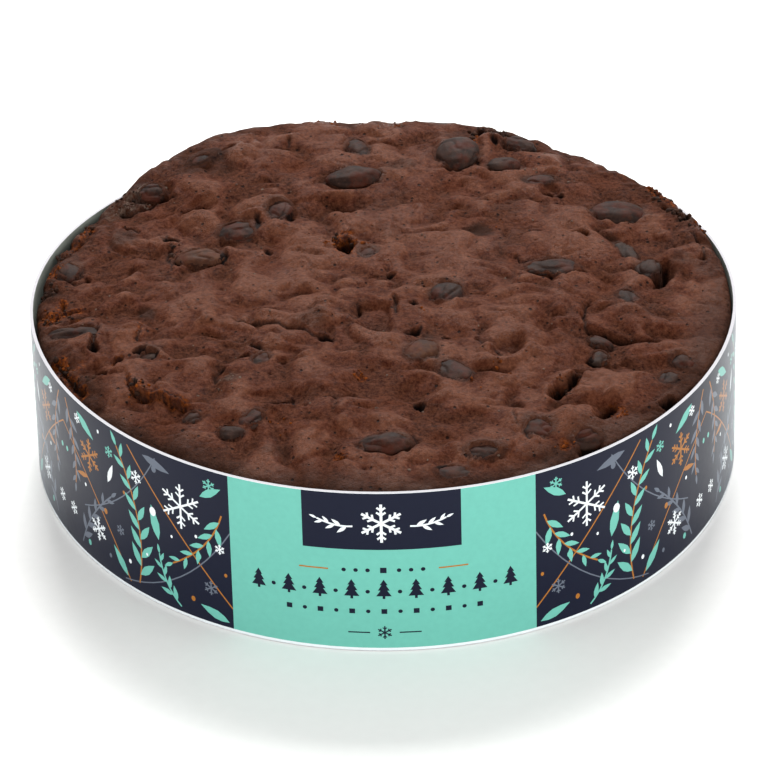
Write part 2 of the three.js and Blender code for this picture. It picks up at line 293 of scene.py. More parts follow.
# sRGB hex to linear colour
def inkColour(hexText):
    parts = [int(hexText[i:i + 2], 16) / 255 for i in (1, 3, 5)]
    return tuple(c / 12.92 if c <= 0.04045 else ((c + 0.055) / 1.055) ** 2.4 for c in parts) + (1.0,)


# links a socket to each named input, or sets its value; text is an sRGB colour
def setInputs(node, inputs):
    for key, value in inputs.items():
        if isinstance(value, bpy.types.NodeSocket):
            node.id_data.links.new(value, node.inputs[key])
        else:
            node.inputs[key].default_value = inkColour(value) if isinstance(value, str) else value


# adds one node with its settings, links and colour stops, and returns one of its sockets
def addNode(tree, kind, inputs, output=0, stops=(), **settings):
    node = tree.nodes.new("ShaderNode" + kind)
    for key, value in settings.items():
        setattr(node, key, value)
    setInputs(node, inputs)
    elements = node.color_ramp.elements if stops else []
    while len(elements) < len(stops):
        elements.new(0.5)
    for element, (place, value) in zip(elements, stops):
        element.position = place
        element.color = inkColour(value) if isinstance(value, str) else (value, value, value, 1)
    return node.outputs[output]


# a new material, its shader, the place on the object, and addNode for its nodes
def newMaterial(name):
    material = bpy.data.materials.new(name)
    material.use_nodes = True
    add = partial(addNode, material.node_tree)
    return material, material.node_tree.nodes["Principled BSDF"], add("TexCoord", {}, "Object"), add


# noise scale for features of that many millimetres
def perMm(size):
    return 1 / (size * mm)


print("materials")
crustLook = {
    "skin": "#441604", "rust": "#4a1b04", "fine": ("#150300", "#6d432f"), "fineShare": 0.5,
    # the near-black is painted shade, laid in holes, cracks, pores and in front of fruits
    "fruitUnderAndShadeInk": "#27160e", "ash": "#5a4a40", "paintedShadeInk": "#0f0402",
    "sheen": (0.35, 0.8), "roughness": (0.48, 0.86),  # the sheen's range, and the roughness from it
    # colours or shares that a noise is turned into
    "ramps": {
        # from dark in hollows, painted shade, to pale on raised skin, painted highlight, with the patches'
        # own tone
        "patch": [(0.54, "#2e0b00"), (0.69, "#441604"), (0.86, "#623725")],
        "crumb": [(0.42, "#2a0b04"), (0.66, "#7c3c0a")],
        "rust": [(0.5, 0), (0.66, 0.85)],
        "fine": [(0.38, 0), (0.5, 0.5), (0.62, 1)],
        "ash": [(0.45, 0), (0.62, 1)],
        "broken": [(0.24, 0), (0.46, 1)],
    },
    # size in mm, detail, roughness and place in the fourth direction
    "noises": {
        "patch": (14, 5, 0.6, 0), "rust": (11, 4, 0.6, 3), "fine": (1, 6, 0.8, 5), "sheen": (3, 5, 0.65, 7),
        "broken": (2, 5, 0.65, 9), "crumb": (1.1, 5, 0.7, 11), "grain": (0.7, 6, 0.7, 13),
        "coarse": (2.1, 5, 0.65, 17), "ash": (1.6, 5, 0.7, 21),
    },
    "withCrest": {"patch": (0.9, 0.5), "sheen": (0.6, 0.55)},  # share of a noise and of the crests
    "pore": {"size": 1.9, "reach": 0.2, "least": 0.02, "rim": 0.05, "sharp": 12, "dark": 0.85},
    "bumps": {"grain": 0.42, "coarse": 0.8, "pore": 0.35},  # mm
}


# Baked fruit-cake crust: a fine brown skin baked on in the oven, satin and pored.
# It shows as soft sheen on raised skin, painted lighter there as a painted highlight, hollows redder and
# painted darker as painted shade, and rust-red crumb where the skin broke.
def bakedCrust():
    look = crustLook
    pore = look["pore"]
    material, shader, place, add = newMaterial("bakedFruitCakeCrust")
    noise = {}
    for name, (size, detail, rough, w) in look["noises"].items():
        inputs = {"Vector": place, "Scale": perMm(size), "Detail": detail, "Roughness": rough, "W": w}
        noise[name] = add("TexNoise", inputs, "Fac", noise_dimensions="4D")
    share = {}
    for name in ("crest", "bare", "paintedShade", "fruitTintAndShade", "ash"):
        share[name] = add("Attribute", {}, "Fac", attribute_name=name)
    for name, (fromNoise, fromCrest) in look["withCrest"].items():
        crest = add("Math", {0: share["crest"], 1: fromCrest}, operation="MULTIPLY")
        inputs = {0: noise[name], 1: fromNoise, 2: crest}
        noise[name] = add("Math", inputs, operation="MULTIPLY_ADD")

    noise["broken"] = add("Math", {0: share["bare"], 1: noise["broken"]}, operation="MULTIPLY")
    for name, stops in look["ramps"].items():
        noise[name] = add("ValToRGB", {"Fac": noise[name]}, stops=stops)
    fine = add("Mix", {0: noise["fine"], 6: look["fine"][0], 7: look["fine"][1]}, 2, data_type="RGBA")
    ash = add("Math", {0: share["ash"], 1: noise["ash"]}, operation="MULTIPLY")

    # pores: round dips in the middle of some cells, each with its own reach
    far = add("TexVoronoi", {"Vector": place, "Scale": perMm(pore["size"])}, "Distance")
    chosen = add("SeparateColor", {"Color": far.node.outputs["Color"]}, "Red")
    chosen = add("ValToRGB", {"Fac": chosen}, stops=[(0.4, 0), (1, 1)])
    reach = add("Math", {0: chosen, 1: pore["reach"]}, operation="MULTIPLY")
    rim = add("Math", {0: reach, 1: pore["rim"]}, operation="ADD")
    edge = add("Math", {0: rim, 1: far}, operation="SUBTRACT")
    edge = add("Math", {0: edge, 1: pore["sharp"]}, operation="MULTIPLY", use_clamp=True)
    there = add("Math", {0: reach, 1: pore["least"]}, operation="GREATER_THAN")
    noise["pore"] = add("Math", {0: there, 1: edge}, operation="MULTIPLY")
    # painted shade: each pore is darkened towards the near-black
    dark = add("Math", {0: noise["pore"], 1: pore["dark"]}, operation="MULTIPLY")

    colour = noise["patch"]
    layers = [
        # the grey-brown darkens skin over a buried fruit, and as painted shade along the rim and shoulder
        (noise["rust"], look["rust"]), (look["fineShare"], fine), (share["fruitTintAndShade"], look["fruitUnderAndShadeInk"]),
        (ash, look["ash"]), (noise["broken"], noise["crumb"]),
        # painted shade: the near-black in pores, and where the mesh marks cracks, holes, torn hollows and the
        # shadow in front of fruits
        (dark, look["paintedShadeInk"]), (share["paintedShade"], look["paintedShadeInk"]),
    ]
    for amount, ink in layers:
        colour = add("Mix", {0: amount, 6: colour, 7: ink}, 2, data_type="RGBA")
    (dull, bright), (low, high) = look["sheen"], look["roughness"]
    inputs = {"Value": noise["sheen"], "From Min": dull, "From Max": bright, "To Min": high, "To Max": low}
    rough = add("MapRange", inputs)
    normal = {}
    for name, depth in look["bumps"].items():
        inputs = {"Height": noise[name], "Strength": 1.0, "Distance": depth * mm, **normal}
        normal = {"Normal": add("Bump", inputs, invert=name == "pore")}
    constants = {"Specular IOR Level": 0.08, "IOR": 1.45}
    setInputs(shader, {"Base Color": colour, "Roughness": rough, **constants, **normal})
    return material


fruitLooks = {
    "raisin": {"dark": "#1a0e0a", "light": "#322019", "bloom": "#443027"},
    "sultana": {"dark": "#2e190f", "light": "#48291a", "bloom": "#583b29"},
    "currant": {"dark": "#1e120d", "light": "#33221a", "bloom": "#45342a"},
}
skinLook = {
    # size in mm, detail, roughness
    "noises": {"patch": (3.2, 4, 0.5), "dust": (0.9, 5, 0.7), "film": (5.5, 5, 0.65)},
    "roughness": (0.6, 0.78),
    "grain": 0.2,  # mm
}


# Dried grape skin: sun-dried and then baked, so dark, folded and satin.
# It shows as soft grey sheen over the folds' crests, and near-black creases that are painted shade.
def driedSkin(kind):
    look = fruitLooks[kind]
    material, shader, place, add = newMaterial(f"dried{kind.capitalize()}Skin")
    noise = {}
    for name, (size, detail, rough) in skinLook["noises"].items():
        inputs = {"Vector": place, "Scale": perMm(size), "Detail": detail, "Roughness": rough}
        noise[name] = add("TexNoise", inputs, "Fac")
    stops = [(0.34, look["dark"]), (0.66, look["light"])]
    colour = add("ValToRGB", {"Fac": noise["patch"]}, stops=stops)
    fold = add("Attribute", {}, "Fac", attribute_name="fold")
    film = add("ValToRGB", {"Fac": noise["film"]}, stops=[(0.48, 0), (0.62, 0.55)])
    bloom = add("ValToRGB", {"Fac": noise["dust"]}, stops=[(0.5, 0), (0.76, 0.7)])
    # the first layer is painted shade, darkening the folds' creases; film and bloom are the skin's own colour
    for amount, ink in ((fold, look["dark"]), (film, crustLook["skin"]), (bloom, look["bloom"])):
        colour = add("Mix", {0: amount, 6: colour, 7: ink}, 2, data_type="RGBA")
    low, high = skinLook["roughness"]
    inputs = {"Value": noise["dust"], "From Min": 0.3, "From Max": 0.7, "To Min": low, "To Max": high}
    rough = add("MapRange", inputs)
    inputs = {"Height": noise["dust"], "Strength": 0.7, "Distance": skinLook["grain"] * mm}
    grain = add("Bump", inputs)
    setInputs(shader, {"Base Color": colour, "Roughness": rough, "Specular IOR Level": 0.1, "Normal": grain})
    return material


# the first of the inks is the bare white of the card
inks = {"white": "#d9dfe2", "navy": "#111527", "turquoise": "#65ad9f", "copper": "#9c6426", "grey": "#5d6470"}
# the grey-green board is the same bare board painted darker, painted shade inside the band
boards = {"bareBoardWhite": "#b6b4b8", "bareBoardShadedGrey": "#949c93"}
# the bluish grey is a painted reflection, mixed into the coated colour where the band turns away
boardLook = {"paintedSheen": "#74808c", "coatedFibre": 1.4, "bareFibre": 0.8, "slack": 26, "film": 1}  # mm


# Coated carton board: printed solid inks under a satin film laid on with heat.
# It shows as flat even colour; the film's sheen, whitening where the band turns away, is a painted reflection
# mixed into the colour.
def coatedBoard(name, ink):
    material, shader, place, add = newMaterial(name)
    inputs = {"Vector": place, "Scale": perMm(boardLook["coatedFibre"]), "Detail": 4}
    fibre = add("TexNoise", inputs, "Fac")
    shade = add("ValToRGB", {"Fac": fibre}, stops=[(0.3, 0.94), (0.7, 1)])
    colour = add("Mix", {0: 1, 6: ink, 7: shade}, 2, data_type="RGBA", blend_type="MULTIPLY")
    # painted reflection: the colour goes towards bluish grey where the surface turns away from the view
    turned = add("LayerWeight", {"Blend": 0.5}, "Facing")
    paintedSheen = add("ValToRGB", {"Fac": turned}, stops=[(0.7, 0), (0.86, 0.2), (1, 0.75)])
    colour = add("Mix", {0: paintedSheen, 6: colour, 7: boardLook["paintedSheen"]}, 2, data_type="RGBA")
    rough = add("MapRange", {"Value": fibre, "To Min": 0.26, "To Max": 0.36})
    slack = add("TexNoise", {"Vector": place, "Scale": perMm(boardLook["slack"]), "Detail": 1}, "Fac")
    film = add("Bump", {"Height": slack, "Strength": 0.25, "Distance": boardLook["film"] * mm})
    setInputs(shader, {"Base Color": colour, "Roughness": rough, "Specular IOR Level": 0.12, "Normal": film})
    return material


# Bare carton board: pressed pulp, cut by a die, with no film on it.
# It shows as matt warm white with faint fibres; the grey-green copy for the band's inner face is painted
# shade.
def bareBoard(name, ink):
    material, shader, place, add = newMaterial(name)
    inputs = {"Vector": place, "Scale": perMm(boardLook["bareFibre"]), "Detail": 5}
    fibre = add("TexNoise", inputs, "Fac")
    shade = add("ValToRGB", {"Fac": fibre}, stops=[(0.3, 0.9), (0.7, 1)])
    colour = add("Mix", {0: 1, 6: ink, 7: shade}, 2, data_type="RGBA", blend_type="MULTIPLY")
    bump = add("Bump", {"Height": fibre, "Strength": 0.3, "Distance": 0.05 * mm})
    setInputs(shader, {"Base Color": colour, "Roughness": 0.75, "Normal": bump})
    return material


print("cake")
# splits in the skin: points along it, half width, depth, how bare its sides are, lift of its left side
cracks = [
    ([(-59, -36.5), (-58.4, -39.5), (-57, -42.8), (-54.4, -44.2), (-51.5, -45.4), (-48.8, -46.8),
      (-45.4, -49)], 0.75, 1.5, 0.75, 1.3),
    ([(-56.5, -42), (-52, -43.6), (-48, -45.6), (-45.5, -48)], 0.5, 0.4, 0.8, 0),
    ([(-37.2, 63.2), (-39, 61.8), (-41, 59.6), (-41.6, 57.8)], 1, 1.8, 0.1, 0.3),
    ([(21.5, -25.8), (24, -29), (27, -32.6), (28.6, -34.4)], 1, 1.1, 0, 0.3),
    ([(47.5, -9.5), (46.5, -14), (46.4, -19), (48, -21)], 0.9, 1.2, 0, 0.3),
    ([(50.5, -21), (54, -22.6), (58.5, -24.8), (62.5, -24.8)], 1, 1.3, 0, 0.5),
    ([(31.3, 11.2), (33, 9), (34.8, 9.8), (36.3, 10.4)], 0.9, 1.6, 0, 0.5),
    ([(34.5, 4.2), (38, 2.8), (42, 3.2), (45, 4.4), (47.8, 5.2)], 0.7, 1.4, 0, 0.4),
    ([(33, 20.2), (36, 21.8), (38.5, 23.2)], 0.6, 0.6, 0, 0),
    ([(67.6, 10.4), (67.4, 7), (65.6, 2.6), (64.8, -0.6)], 1.5, 3.2, 0, 0.4),
    ([(-66.6, -10), (-67.3, -14), (-68, -18.6)], 1, 2.6, 0.1, 0.3),
    ([(-76.5, 2), (-76, -2), (-77.2, -6)], 0.7, 1.4, 1, 0.3),
    ([(-79, -2.5), (-75.5, -3.5), (-72, -3)], 0.6, 1.2, 1, 0.3),
    ([(-64, 43.4), (-60.5, 43), (-57, 44.6), (-54, 47)], 1.2, 2, 0.1, 0.6),
    ([(-76, -25), (-74.5, -29.5), (-72, -34), (-69, -39)], 1.2, 1.6, 0.9, 0),
    ([(66.6, 47.5), (68.2, 44), (69, 40.5)], 0.9, 1.6, 0.9, 0.4),
    ([(69, 37.5), (72.5, 34.5), (74.5, 31.5)], 0.8, 1.2, 0.5, 0.3),
    ([(75, 24.5), (77, 19), (77.4, 13.5)], 0.8, 1.4, 0.2, 0),
    ([(-37.9, -33.2), (-38.6, -36.6), (-38.2, -40)], 0.9, 1, 0, 0.3),
    ([(-51.4, 23), (-51.8, 17), (-50.6, 12)], 0.9, 0.9, 0, 0),
    ([(-6.1, -9), (-6.2, -13), (-7, -17)], 0.8, 0.9, 0, 0.2), ([(2.2, -7.5), (2.6, -13.5)], 1, 1.2, 0, 0),
    ([(-76, 12), (-73.5, 10), (-71, 12.6)], 0.8, 1.3, 0.2, 0.3),
    ([(-71.6, 38), (-72.8, 33), (-74.6, 28)], 0.9, 1.2, 0.9, 0.2),
    ([(-63.5, 34.5), (-61, 33.2), (-59.5, 31.5)], 0.8, 1, 0.3, 0.2),
    ([(-35, -14.6), (-31, -16), (-26, -17.6), (-20, -20.4), (-14.4, -24)], 1, 0.8, 0, 0.3),
    ([(-56.2, -13.5), (-56.8, -17), (-57.6, -20)], 0.6, 0.8, 0.8, 0),
    ([(-7, -47.5), (-10, -49.8), (-14.5, -50.2)], 0.8, 0.8, 0, 0.2),
    ([(28, -57), (29, -62), (31, -66)], 0.7, 0.9, 0, 0), ([(-22.8, 67), (-23.2, 62.6)], 0.8, 1, 0, 0),
    ([(23, 71.6), (27, 70), (30, 71), (33.5, 68)], 1.1, 1.6, 0.2, 0.3),
    ([(5.5, -63), (7, -66), (4.5, -69)], 0.8, 1, 0, 0),
]

# holes through the skin: x, y, half length, half width, turn, depth, how bare the rim is
holes = [
    (-9.1, 17.2, 4.3, 2.1, 85, 5, 0.9), (-51.5, 25.7, 2, 1.5, -30, 1.8, 0),
    (-45.2, 38.2, 2.6, 1, 10, 1.6, 0.1), (-53.4, 46.4, 1.7, 1.5, 80, 2.6, 0),
    (-4.6, 61.2, 0.9, 1.1, 0, 1.8, 0), (48, 23, 1.6, 1.5, 0, 1.8, 0.6), (41.6, 43.2, 2.3, 1.5, 100, 2.2, 0),
    (44.2, 42, 1.5, 0.8, 80, 1.6, 0), (43, -41.6, 2.6, 1.3, 60, 3, 0.5),
    (38.6, -46.8, 3.4, 1.5, 50, 3.4, 0.6), (48.9, -54.4, 4.2, 1.2, 58, 3.2, 0.6),
    (7.2, -51.8, 1.9, 1.3, 100, 1.6, 0), (45, -67.4, 2.2, 1.2, 35, 3, 0.3),
    (63.5, -50, 2.4, 1.2, 50, 3, 0.1), (6.9, -10.4, 1.3, 1.1, 90, 1, 0), (6.9, -22.4, 1.9, 1.2, 20, 0.9, 0),
    (-27.7, 17.2, 1.6, 1, 100, 1, 0), (-23.3, -49.6, 2.3, 1.2, 10, 1.2, 0),
    (-13.4, -24.6, 1.8, 1.1, -30, 1.4, 0), (-31.3, 69, 0.8, 0.7, 0, 1.2, 0),
    (-66, -31.6, 2.2, 1.4, 20, 2.2, 0.1), (-61.6, -27.6, 1, 1.2, 100, 1.4, 0.8),
    (-67.6, -21.4, 1.3, 2.6, 10, 3.2, 0), (74.4, 31.5, 1.8, 1.2, 30, 1.6, 0.4), (1.8, 3, 1, 0.8, 0, 0.9, 0),
    (12.4, -75.4, 2.4, 1.1, -20, 1.8, 0), (-32.3, -29.8, 1.3, 1, 0, 1.6, 0),
    (-29.5, -27.4, 1.6, 0.7, -40, 1.2, 0), (-56.8, -25.6, 1.5, 0.8, 10, 1.4, 0.1),
    (-53, -28.8, 1.3, 0.8, 40, 1.2, 0), (-37.4, -35.4, 0.9, 0.9, 0, 0.9, 0), (26, 70.2, 2, 1.3, 60, 2, 0.2),
    (29, 66.8, 1.4, 0.9, 80, 1.6, 0.1), (47.6, -34.4, 2, 1.2, 90, 1.4, 0), (-30.2, 28.4, 0.9, 2, 0, 1.6, 0),
    (-22.4, 31.6, 0.8, 1.8, -20, 1.2, 0), (14.2, -24.8, 0.8, 0.6, 0, 0.8, 0),
    (-49.6, 15, 0.8, 1.8, 10, 1.2, 0), (-38.2, 16, 0.8, 1.6, -10, 1, 0),
]

# patches sunk below the skin with steep sides: x, y, half length, half width, turn, depth
pits = [
    (-1.9, -14.6, 5.6, 4.2, 85, 1), (-16, 36, 9, 3.6, 28, 0.7), (22, 44, 8, 3.4, 5, 0.6),
    (27, -31, 5, 3.2, 70, 0.7), (-45, 38.6, 5, 2.6, 10, 0.7), (7, -46, 6, 3, 20, 0.6),
    (51, 0, 8, 3.4, 5, 0.5), (-38, -20, 8, 3, -15, 0.6), (40, -16, 6, 3.4, 60, 0.5),
    (-66, 10, 6, 3, 20, 0.5), (-26, -47, 7, 3, 15, 0.6), (60, -44, 6, 3, 50, 0.6),
]

# broken patches where rust-red crumb shows: x, y, reach, how bare
brokenPatches = [
    (-78.6, -4.4, 4.4, 1), (-77, -1, 3, 0.9), (-80, 17, 2.6, 1), (-79, 24, 2.6, 1), (-77, 31, 2.8, 1),
    (-74, 37, 3.2, 1), (-76, -26.5, 3.6, 1), (-72.6, -33, 3, 1), (71.6, 41, 3.2, 1), (68, 46, 2, 0.8),
    (39.4, -67, 2.8, 0.9), (51.4, -55.2, 3.2, 0.8), (-5.6, -40.4, 2, 0.8), (24.2, 67, 1.8, 1),
    (49.4, 23.8, 2, 0.8), (-10.8, 21.4, 2.4, 1), (-5.2, 19.4, 1.9, 0.9), (40.8, -44, 2.6, 0.8),
    (-46.5, 36.6, 2.2, 0.6), (24, -45, 4, 0.4), (-43, 57, 3, 0.3), (79.6, 27, 2.4, 1), (3, 79, 6, 0.7),
    (-24, -61, 5, 0.4), (-10.5, -70, 2.6, 0.9), (-70, -28, 3, 0.7), (10.6, -14, 1.6, 0.7),
    (42, 12.6, 2, 0.5), (36, 60, 2.2, 0.7), (-72, -8, 2.6, 0.7), (-12, 78, 4, 0.6), (48, -38, 3, 0.4),
    (-60.8, -25, 1.8, 0.8),
]

# skin darkened by a fruit just below it, and along the front-left shoulder by painted shade: x, y, half
# length, half width, turn, share
fruitTintAndShadePatches = [
    (-16.5, -17, 5.5, 4, 80, 0.45), (24, 24.5, 4.6, 3.2, -20, 0.8), (4.7, 54.4, 4.6, 3.4, 0, 0.5),
    (-63.5, 29, 4.6, 3.6, 60, 0.6), (-56, -7.4, 3.6, 2.2, 120, 0.75), (-35.6, -40.5, 2.6, 2.4, 0, 0.6),
    (-80, 6, 4, 3, 100, 0.7), (-44, 58.5, 8, 4.5, 30, 0.6), (-40, 54, 4, 3, 0, 0.5),
    (-76, 19, 7, 4.4, 95, 0.55), (-60, 48, 7, 4.4, 30, 0.6), (29, 71.5, 8, 3, -20, 0.6),
    (10, -24.4, 1.8, 3, 0, 0.6), (-71, -6.5, 3, 2.4, 0, 0.7), (-55, -26.5, 4.5, 2.6, 15, 0.5),
    (56, 22, 1.8, 4, 20, 0.6), (38.6, 48.6, 5, 2.6, 20, 0.6), (-58, -54, 13, 2.6, -42, 0.7),
    (-75.5, 14, 3, 4, 0, 0.4), (71, 12, 4, 3, 60, 0.45), (64, -40, 4, 3, 30, 0.4), (28, 15, 2, 3, 0, 0.2),
    (-50, 62, 4, 3, 40, 0.4), (76, 33, 4, 2.4, 120, 0.5), (-24, -66, 5, 2.4, 10, 0.35),
    (2, 24, 3, 4, 20, 0.2), (20, 70.5, 6, 3, 10, 0.4), (33, 76, 8, 2.5, -25, 0.6), (60, -13, 8, 5, 0, 0.15),
]

# pale ashy crumbs baked onto the skin: x, y, reach, share
ashPatches = [
    (-62, 49, 6, 0.9), (-66, 45, 4, 0.8), (76, 33, 4, 0.6), (-36, -40, 3, 0.6), (2, -66, 4, 0.5),
]

relief = {
    # waves that bend the skin's pattern, and those that make splits stray: size, reach, draws
    "bends": [(7, 2.2, 41, 42), (2.6, 0.7, 47, 48)],
    "strays": [(2.3, 0.5, 30, 31)],
    "pillows": [(15, 1, 44), (8.5, 0.95, 45), (4.6, 0.66, 46)],  # wavelength, height, draw
    "grain": [(2.4, 0.13, 22), (1.3, 0.085, 23)],
    "wrinkles": [(6.5, 0.3, 24), (3.6, 0.2, 26)],
    "ragged": [(180, 40, 4), (148, 20, 4), (18, 16, 4), (52, 16, 4), (76, 16, 4)],  # angle, width, power
    "back": (100, 48, 6),
    "paler": 0.2,  # how much paler the skin is in the middle than at the sides
    # where the edge is turned up: how much, from which share of the radius, angle, width, power
    "edgeRises": [(2.5, 0.84, 24, 10, 2), (0.8, 0.9, 6, 14, 2)],
    "pores": {"seed": 7, "count": 950, "within": 80, "reach": (0.3, 0.8), "depth": (0.15, 0.5)},
}


# places moved by waves
def strayed(x, y, strays):
    movedX, movedY = x, y
    for size, reach, drawX, drawY in strays:
        movedX = movedX + reach * spots(x, y, size, drawX)
        movedY = movedY + reach * spots(x, y, size, drawY)
    return movedX, movedY


# distance from a line of points, and on which side of it
def lineDistance(x, y, points):
    best = np.full(x.shape, 1e9)
    side = np.zeros(x.shape)
    for (ax, ay), (bx, by) in zip(points, points[1:]):
        dx, dy = bx - ax, by - ay
        t = np.clip(((x - ax) * dx + (y - ay) * dy) / (dx * dx + dy * dy), 0, 1)
        far = np.hypot(x - ax - t * dx, y - ay - t * dy)
        closer = far < best
        best[closer] = far[closer]
        side[closer] = np.sign(dx * (y - ay) - dy * (x - ax))[closer]
    return best, side


# raises a field where the values are higher
def atLeast(field, name, values):
    field[name] = np.maximum(field[name], values)


# pillows, grain and wrinkles of the skin
def softSkin(x, y, bentX, bentY, share, field):
    lift = np.zeros_like(x)
    for length, height, k in relief["pillows"]:
        lift += height * (2 * np.sqrt(spots(bentX, bentY, length, k) ** 2 + 0.004) - 0.7)
    # crest: the pillows' height; the crust paints it lighter as a painted highlight, darker in hollows as
    # painted shade, and makes it smoother
    field["crest"] = np.clip(0.5 + lift / 2.2, 0, 1)
    field["crest"] += relief["paler"] * (1.1 - smooth(0.25, 0.6, share) - smooth(25, 62, np.abs(x)))
    lift *= 1 - 0.65 * smooth(0.86, 0.97, share)
    busy = 0.6 + 0.4 * spots(x, y, 16, 43) + 0.8 * smooth(-40, -62, x) + 0.4 * smooth(45, 70, x)
    for length, height, k in relief["grain"]:
        lift += height * busy * spots(bentX, bentY, length, k)
    for length, depth, k in relief["wrinkles"]:
        ridge = 1 - np.abs(waves(bentX / length, bentY / (length * 0.8), k))
        lift -= depth * smooth(0.86, 1.0, ridge) * smooth(-0.1, 0.5, spots(x, y, 15, k + 1))
    field["lift"] = lift


# the cake's rim: turned up at the right, ragged where it tore, and darker all round, a painted shade beside
# the card that is deeper at the front
def raggedEdge(x, y, angle, share, field):
    ragged = np.clip(sum(bell(angle, *where) for where in relief["ragged"]), 0, 1) * smooth(0.87, 0.95, share)
    back = bell(angle, *relief["back"])
    coarse = spots(x, y, 3.4, 27)
    for rise, start, *where in relief["edgeRises"]:
        field["lift"] += rise * bell(angle, *where) * smooth(start, 0.97, share)
    field["lift"] += ragged * (1 - 0.6 * back) * (0.8 * coarse + 0.45 * spots(x, y, 1.6, 28))
    field["bare"] = 0.7 * ragged * smooth(0.1, 0.7, spots(x, y, 6, 29)) * (1 - 0.5 * back)
    # painted shade in the torn edge's hollows
    field["paintedShade"] = 0.5 * ragged * smooth(0.25, 0.8, -coarse)
    front = smooth(0.3, -0.7, np.sin(angle))
    edge = smooth(0.88, 0.98, share + 0.04 * spots(x, y, 9, 39))
    # painted shade along the rim, deeper at the front
    field["fruitTintAndShade"] = edge * (0.45 + 0.2 * front)


def splitSkin(x, y, field):
    strayX, strayY = strayed(x, y, relief["strays"])
    uneven = 0.85 + 0.5 * spots(x, y, 2.9, 36)
    for points, width, depth, bareness, raised in cracks:
        far, side = lineDistance(strayX, strayY, points)
        wide = width * uneven
        field["lift"] += raised * np.exp(-far / 2.2) * np.where(side > 0, 1.0, -0.5)
        field["lift"] -= depth * uneven * smooth(wide, 0.0, far)
        # painted shade down in the split
        atLeast(field, "paintedShade", 0.8 * smooth(0.7 * wide, 0.1 * wide, far))
        atLeast(field, "bare", bareness * smooth(width + 1.8, width * 0.5, far))


def sinkSkin(x, y, bentX, bentY, field):
    wobble = 1 + 0.34 * spots(x, y, 1.7, 32) + 0.22 * spots(x, y, 0.7, 38)
    for cx, cy, half, side, turn, depth, bareness in holes:
        q = np.sqrt(ovalShare(x, y, cx, cy, half, side, turn)) * wobble
        field["lift"] -= depth * smooth(1.2, 0.55, q)
        field["lift"] += 0.3 * np.exp(-(((q - 1.6) / 0.45) ** 2))
        # painted shade inside the hole
        atLeast(field, "paintedShade", 0.97 * smooth(1.2, 0.85, q))
        atLeast(field, "bare", bareness * smooth(2.0, 1.2, q) * smooth(0.6, 0.95, q))
    for cx, cy, half, side, turn, depth in pits:
        q = np.sqrt(ovalShare(bentX, bentY, cx, cy, half, side, turn))
        sunk = smooth(1.15, 0.8, q)
        field["lift"] += depth * (0.3 * np.exp(-(((q - 1.35) / 0.25) ** 2)) - sunk)
        # painted shade: a sunk patch reads as a hollow, so darker
        field["crest"] *= 1 - 0.4 * sunk


# broken, darkened and ashy patches
def patchSkin(x, y, field):
    stray = 0.35 * spots(x, y, 2.4, 33)
    rough = 0.5 + 0.5 * spots(x, y, 1.5, 34)
    for cx, cy, reach, bareness in brokenPatches:
        patch = smooth(1.3, 0.3, np.hypot(x - cx, y - cy) / reach + stray)
        atLeast(field, "bare", bareness * patch)
        field["lift"] -= 0.6 * bareness * patch * rough
    stray = 0.25 * spots(x, y, 3, 35)
    for cx, cy, half, side, turn, amount in fruitTintAndShadePatches:
        q = np.sqrt(ovalShare(x, y, cx, cy, half, side, turn)) + stray
        atLeast(field, "fruitTintAndShade", amount * smooth(1.2, 0.5, q))
    field["ash"] = np.zeros_like(x)
    lumps = np.maximum(0, spots(x, y, 1.4, 37))
    for cx, cy, reach, amount in ashPatches:
        near = smooth(1.2, 0.4, np.hypot(x - cx, y - cy) / reach)
        atLeast(field, "ash", amount * near)
        field["lift"] += 0.5 * near * lumps


def poreSkin(x, y, field):
    pores = relief["pores"]
    lift, paintedShade = field["lift"], field["paintedShade"]
    rng = np.random.default_rng(pores["seed"])
    for _ in range(pores["count"]):
        r = pores["within"] * math.sqrt(rng.random())
        a = rng.random() * 2 * math.pi
        reach = rng.uniform(*pores["reach"])
        depth = rng.uniform(*pores["depth"])
        far = np.hypot(x - r * math.cos(a), y - r * math.sin(a)) / reach
        near = far < 1
        lift[near] -= depth * (1 - far[near] ** 2)
        # painted shade inside the pore
        paintedShade[near] = np.maximum(paintedShade[near], 0.45 * smooth(0.7, 0.2, far[near]))


# fine relief of the skin, and the shares that its material reads
def skinRelief(x, y):
    angle = np.arctan2(y, x)
    share = np.hypot(x, y) / topRadius(angle)
    bentX, bentY = strayed(x, y, relief["bends"])
    field = {}
    softSkin(x, y, bentX, bentY, share, field)
    raggedEdge(x, y, angle, share, field)
    splitSkin(x, y, field)
    sinkSkin(x, y, bentX, bentY, field)
    patchSkin(x, y, field)
    poreSkin(x, y, field)
    shares = {name: np.clip(field[name], 0, 1) for name in ("crest", "bare", "paintedShade", "fruitTintAndShade", "ash")}
    return field["lift"], shares


# hex rings: ring i has 6 i points
def ringGrid(rings):
    index = [np.zeros(1)]
    angle = [np.zeros(1)]
    faces = []
    for i in range(1, rings + 1):
        step = np.arange(6 * i)
        index.append(np.full(6 * i, float(i)))
        angle.append(step / (6 * i) * 2 * math.pi)
        sector, place = step // i, step % i
        inner = max(1, 6 * (i - 1))
        start = 1 + 3 * i * (i - 1)
        startIn = 0 if i == 1 else 1 + 3 * (i - 1) * (i - 2)
        a = start + step
        b = start + (step + 1) % (6 * i)
        c = startIn + (sector * (i - 1) + place) % inner
        d = startIn + (sector * (i - 1) + place + 1) % inner
        faces.append(np.stack([a, b, c], 1))
        faces.append(np.stack([c, b, d], 1)[place < i - 1])
    return np.concatenate(index), np.concatenate(angle), np.concatenate(faces)


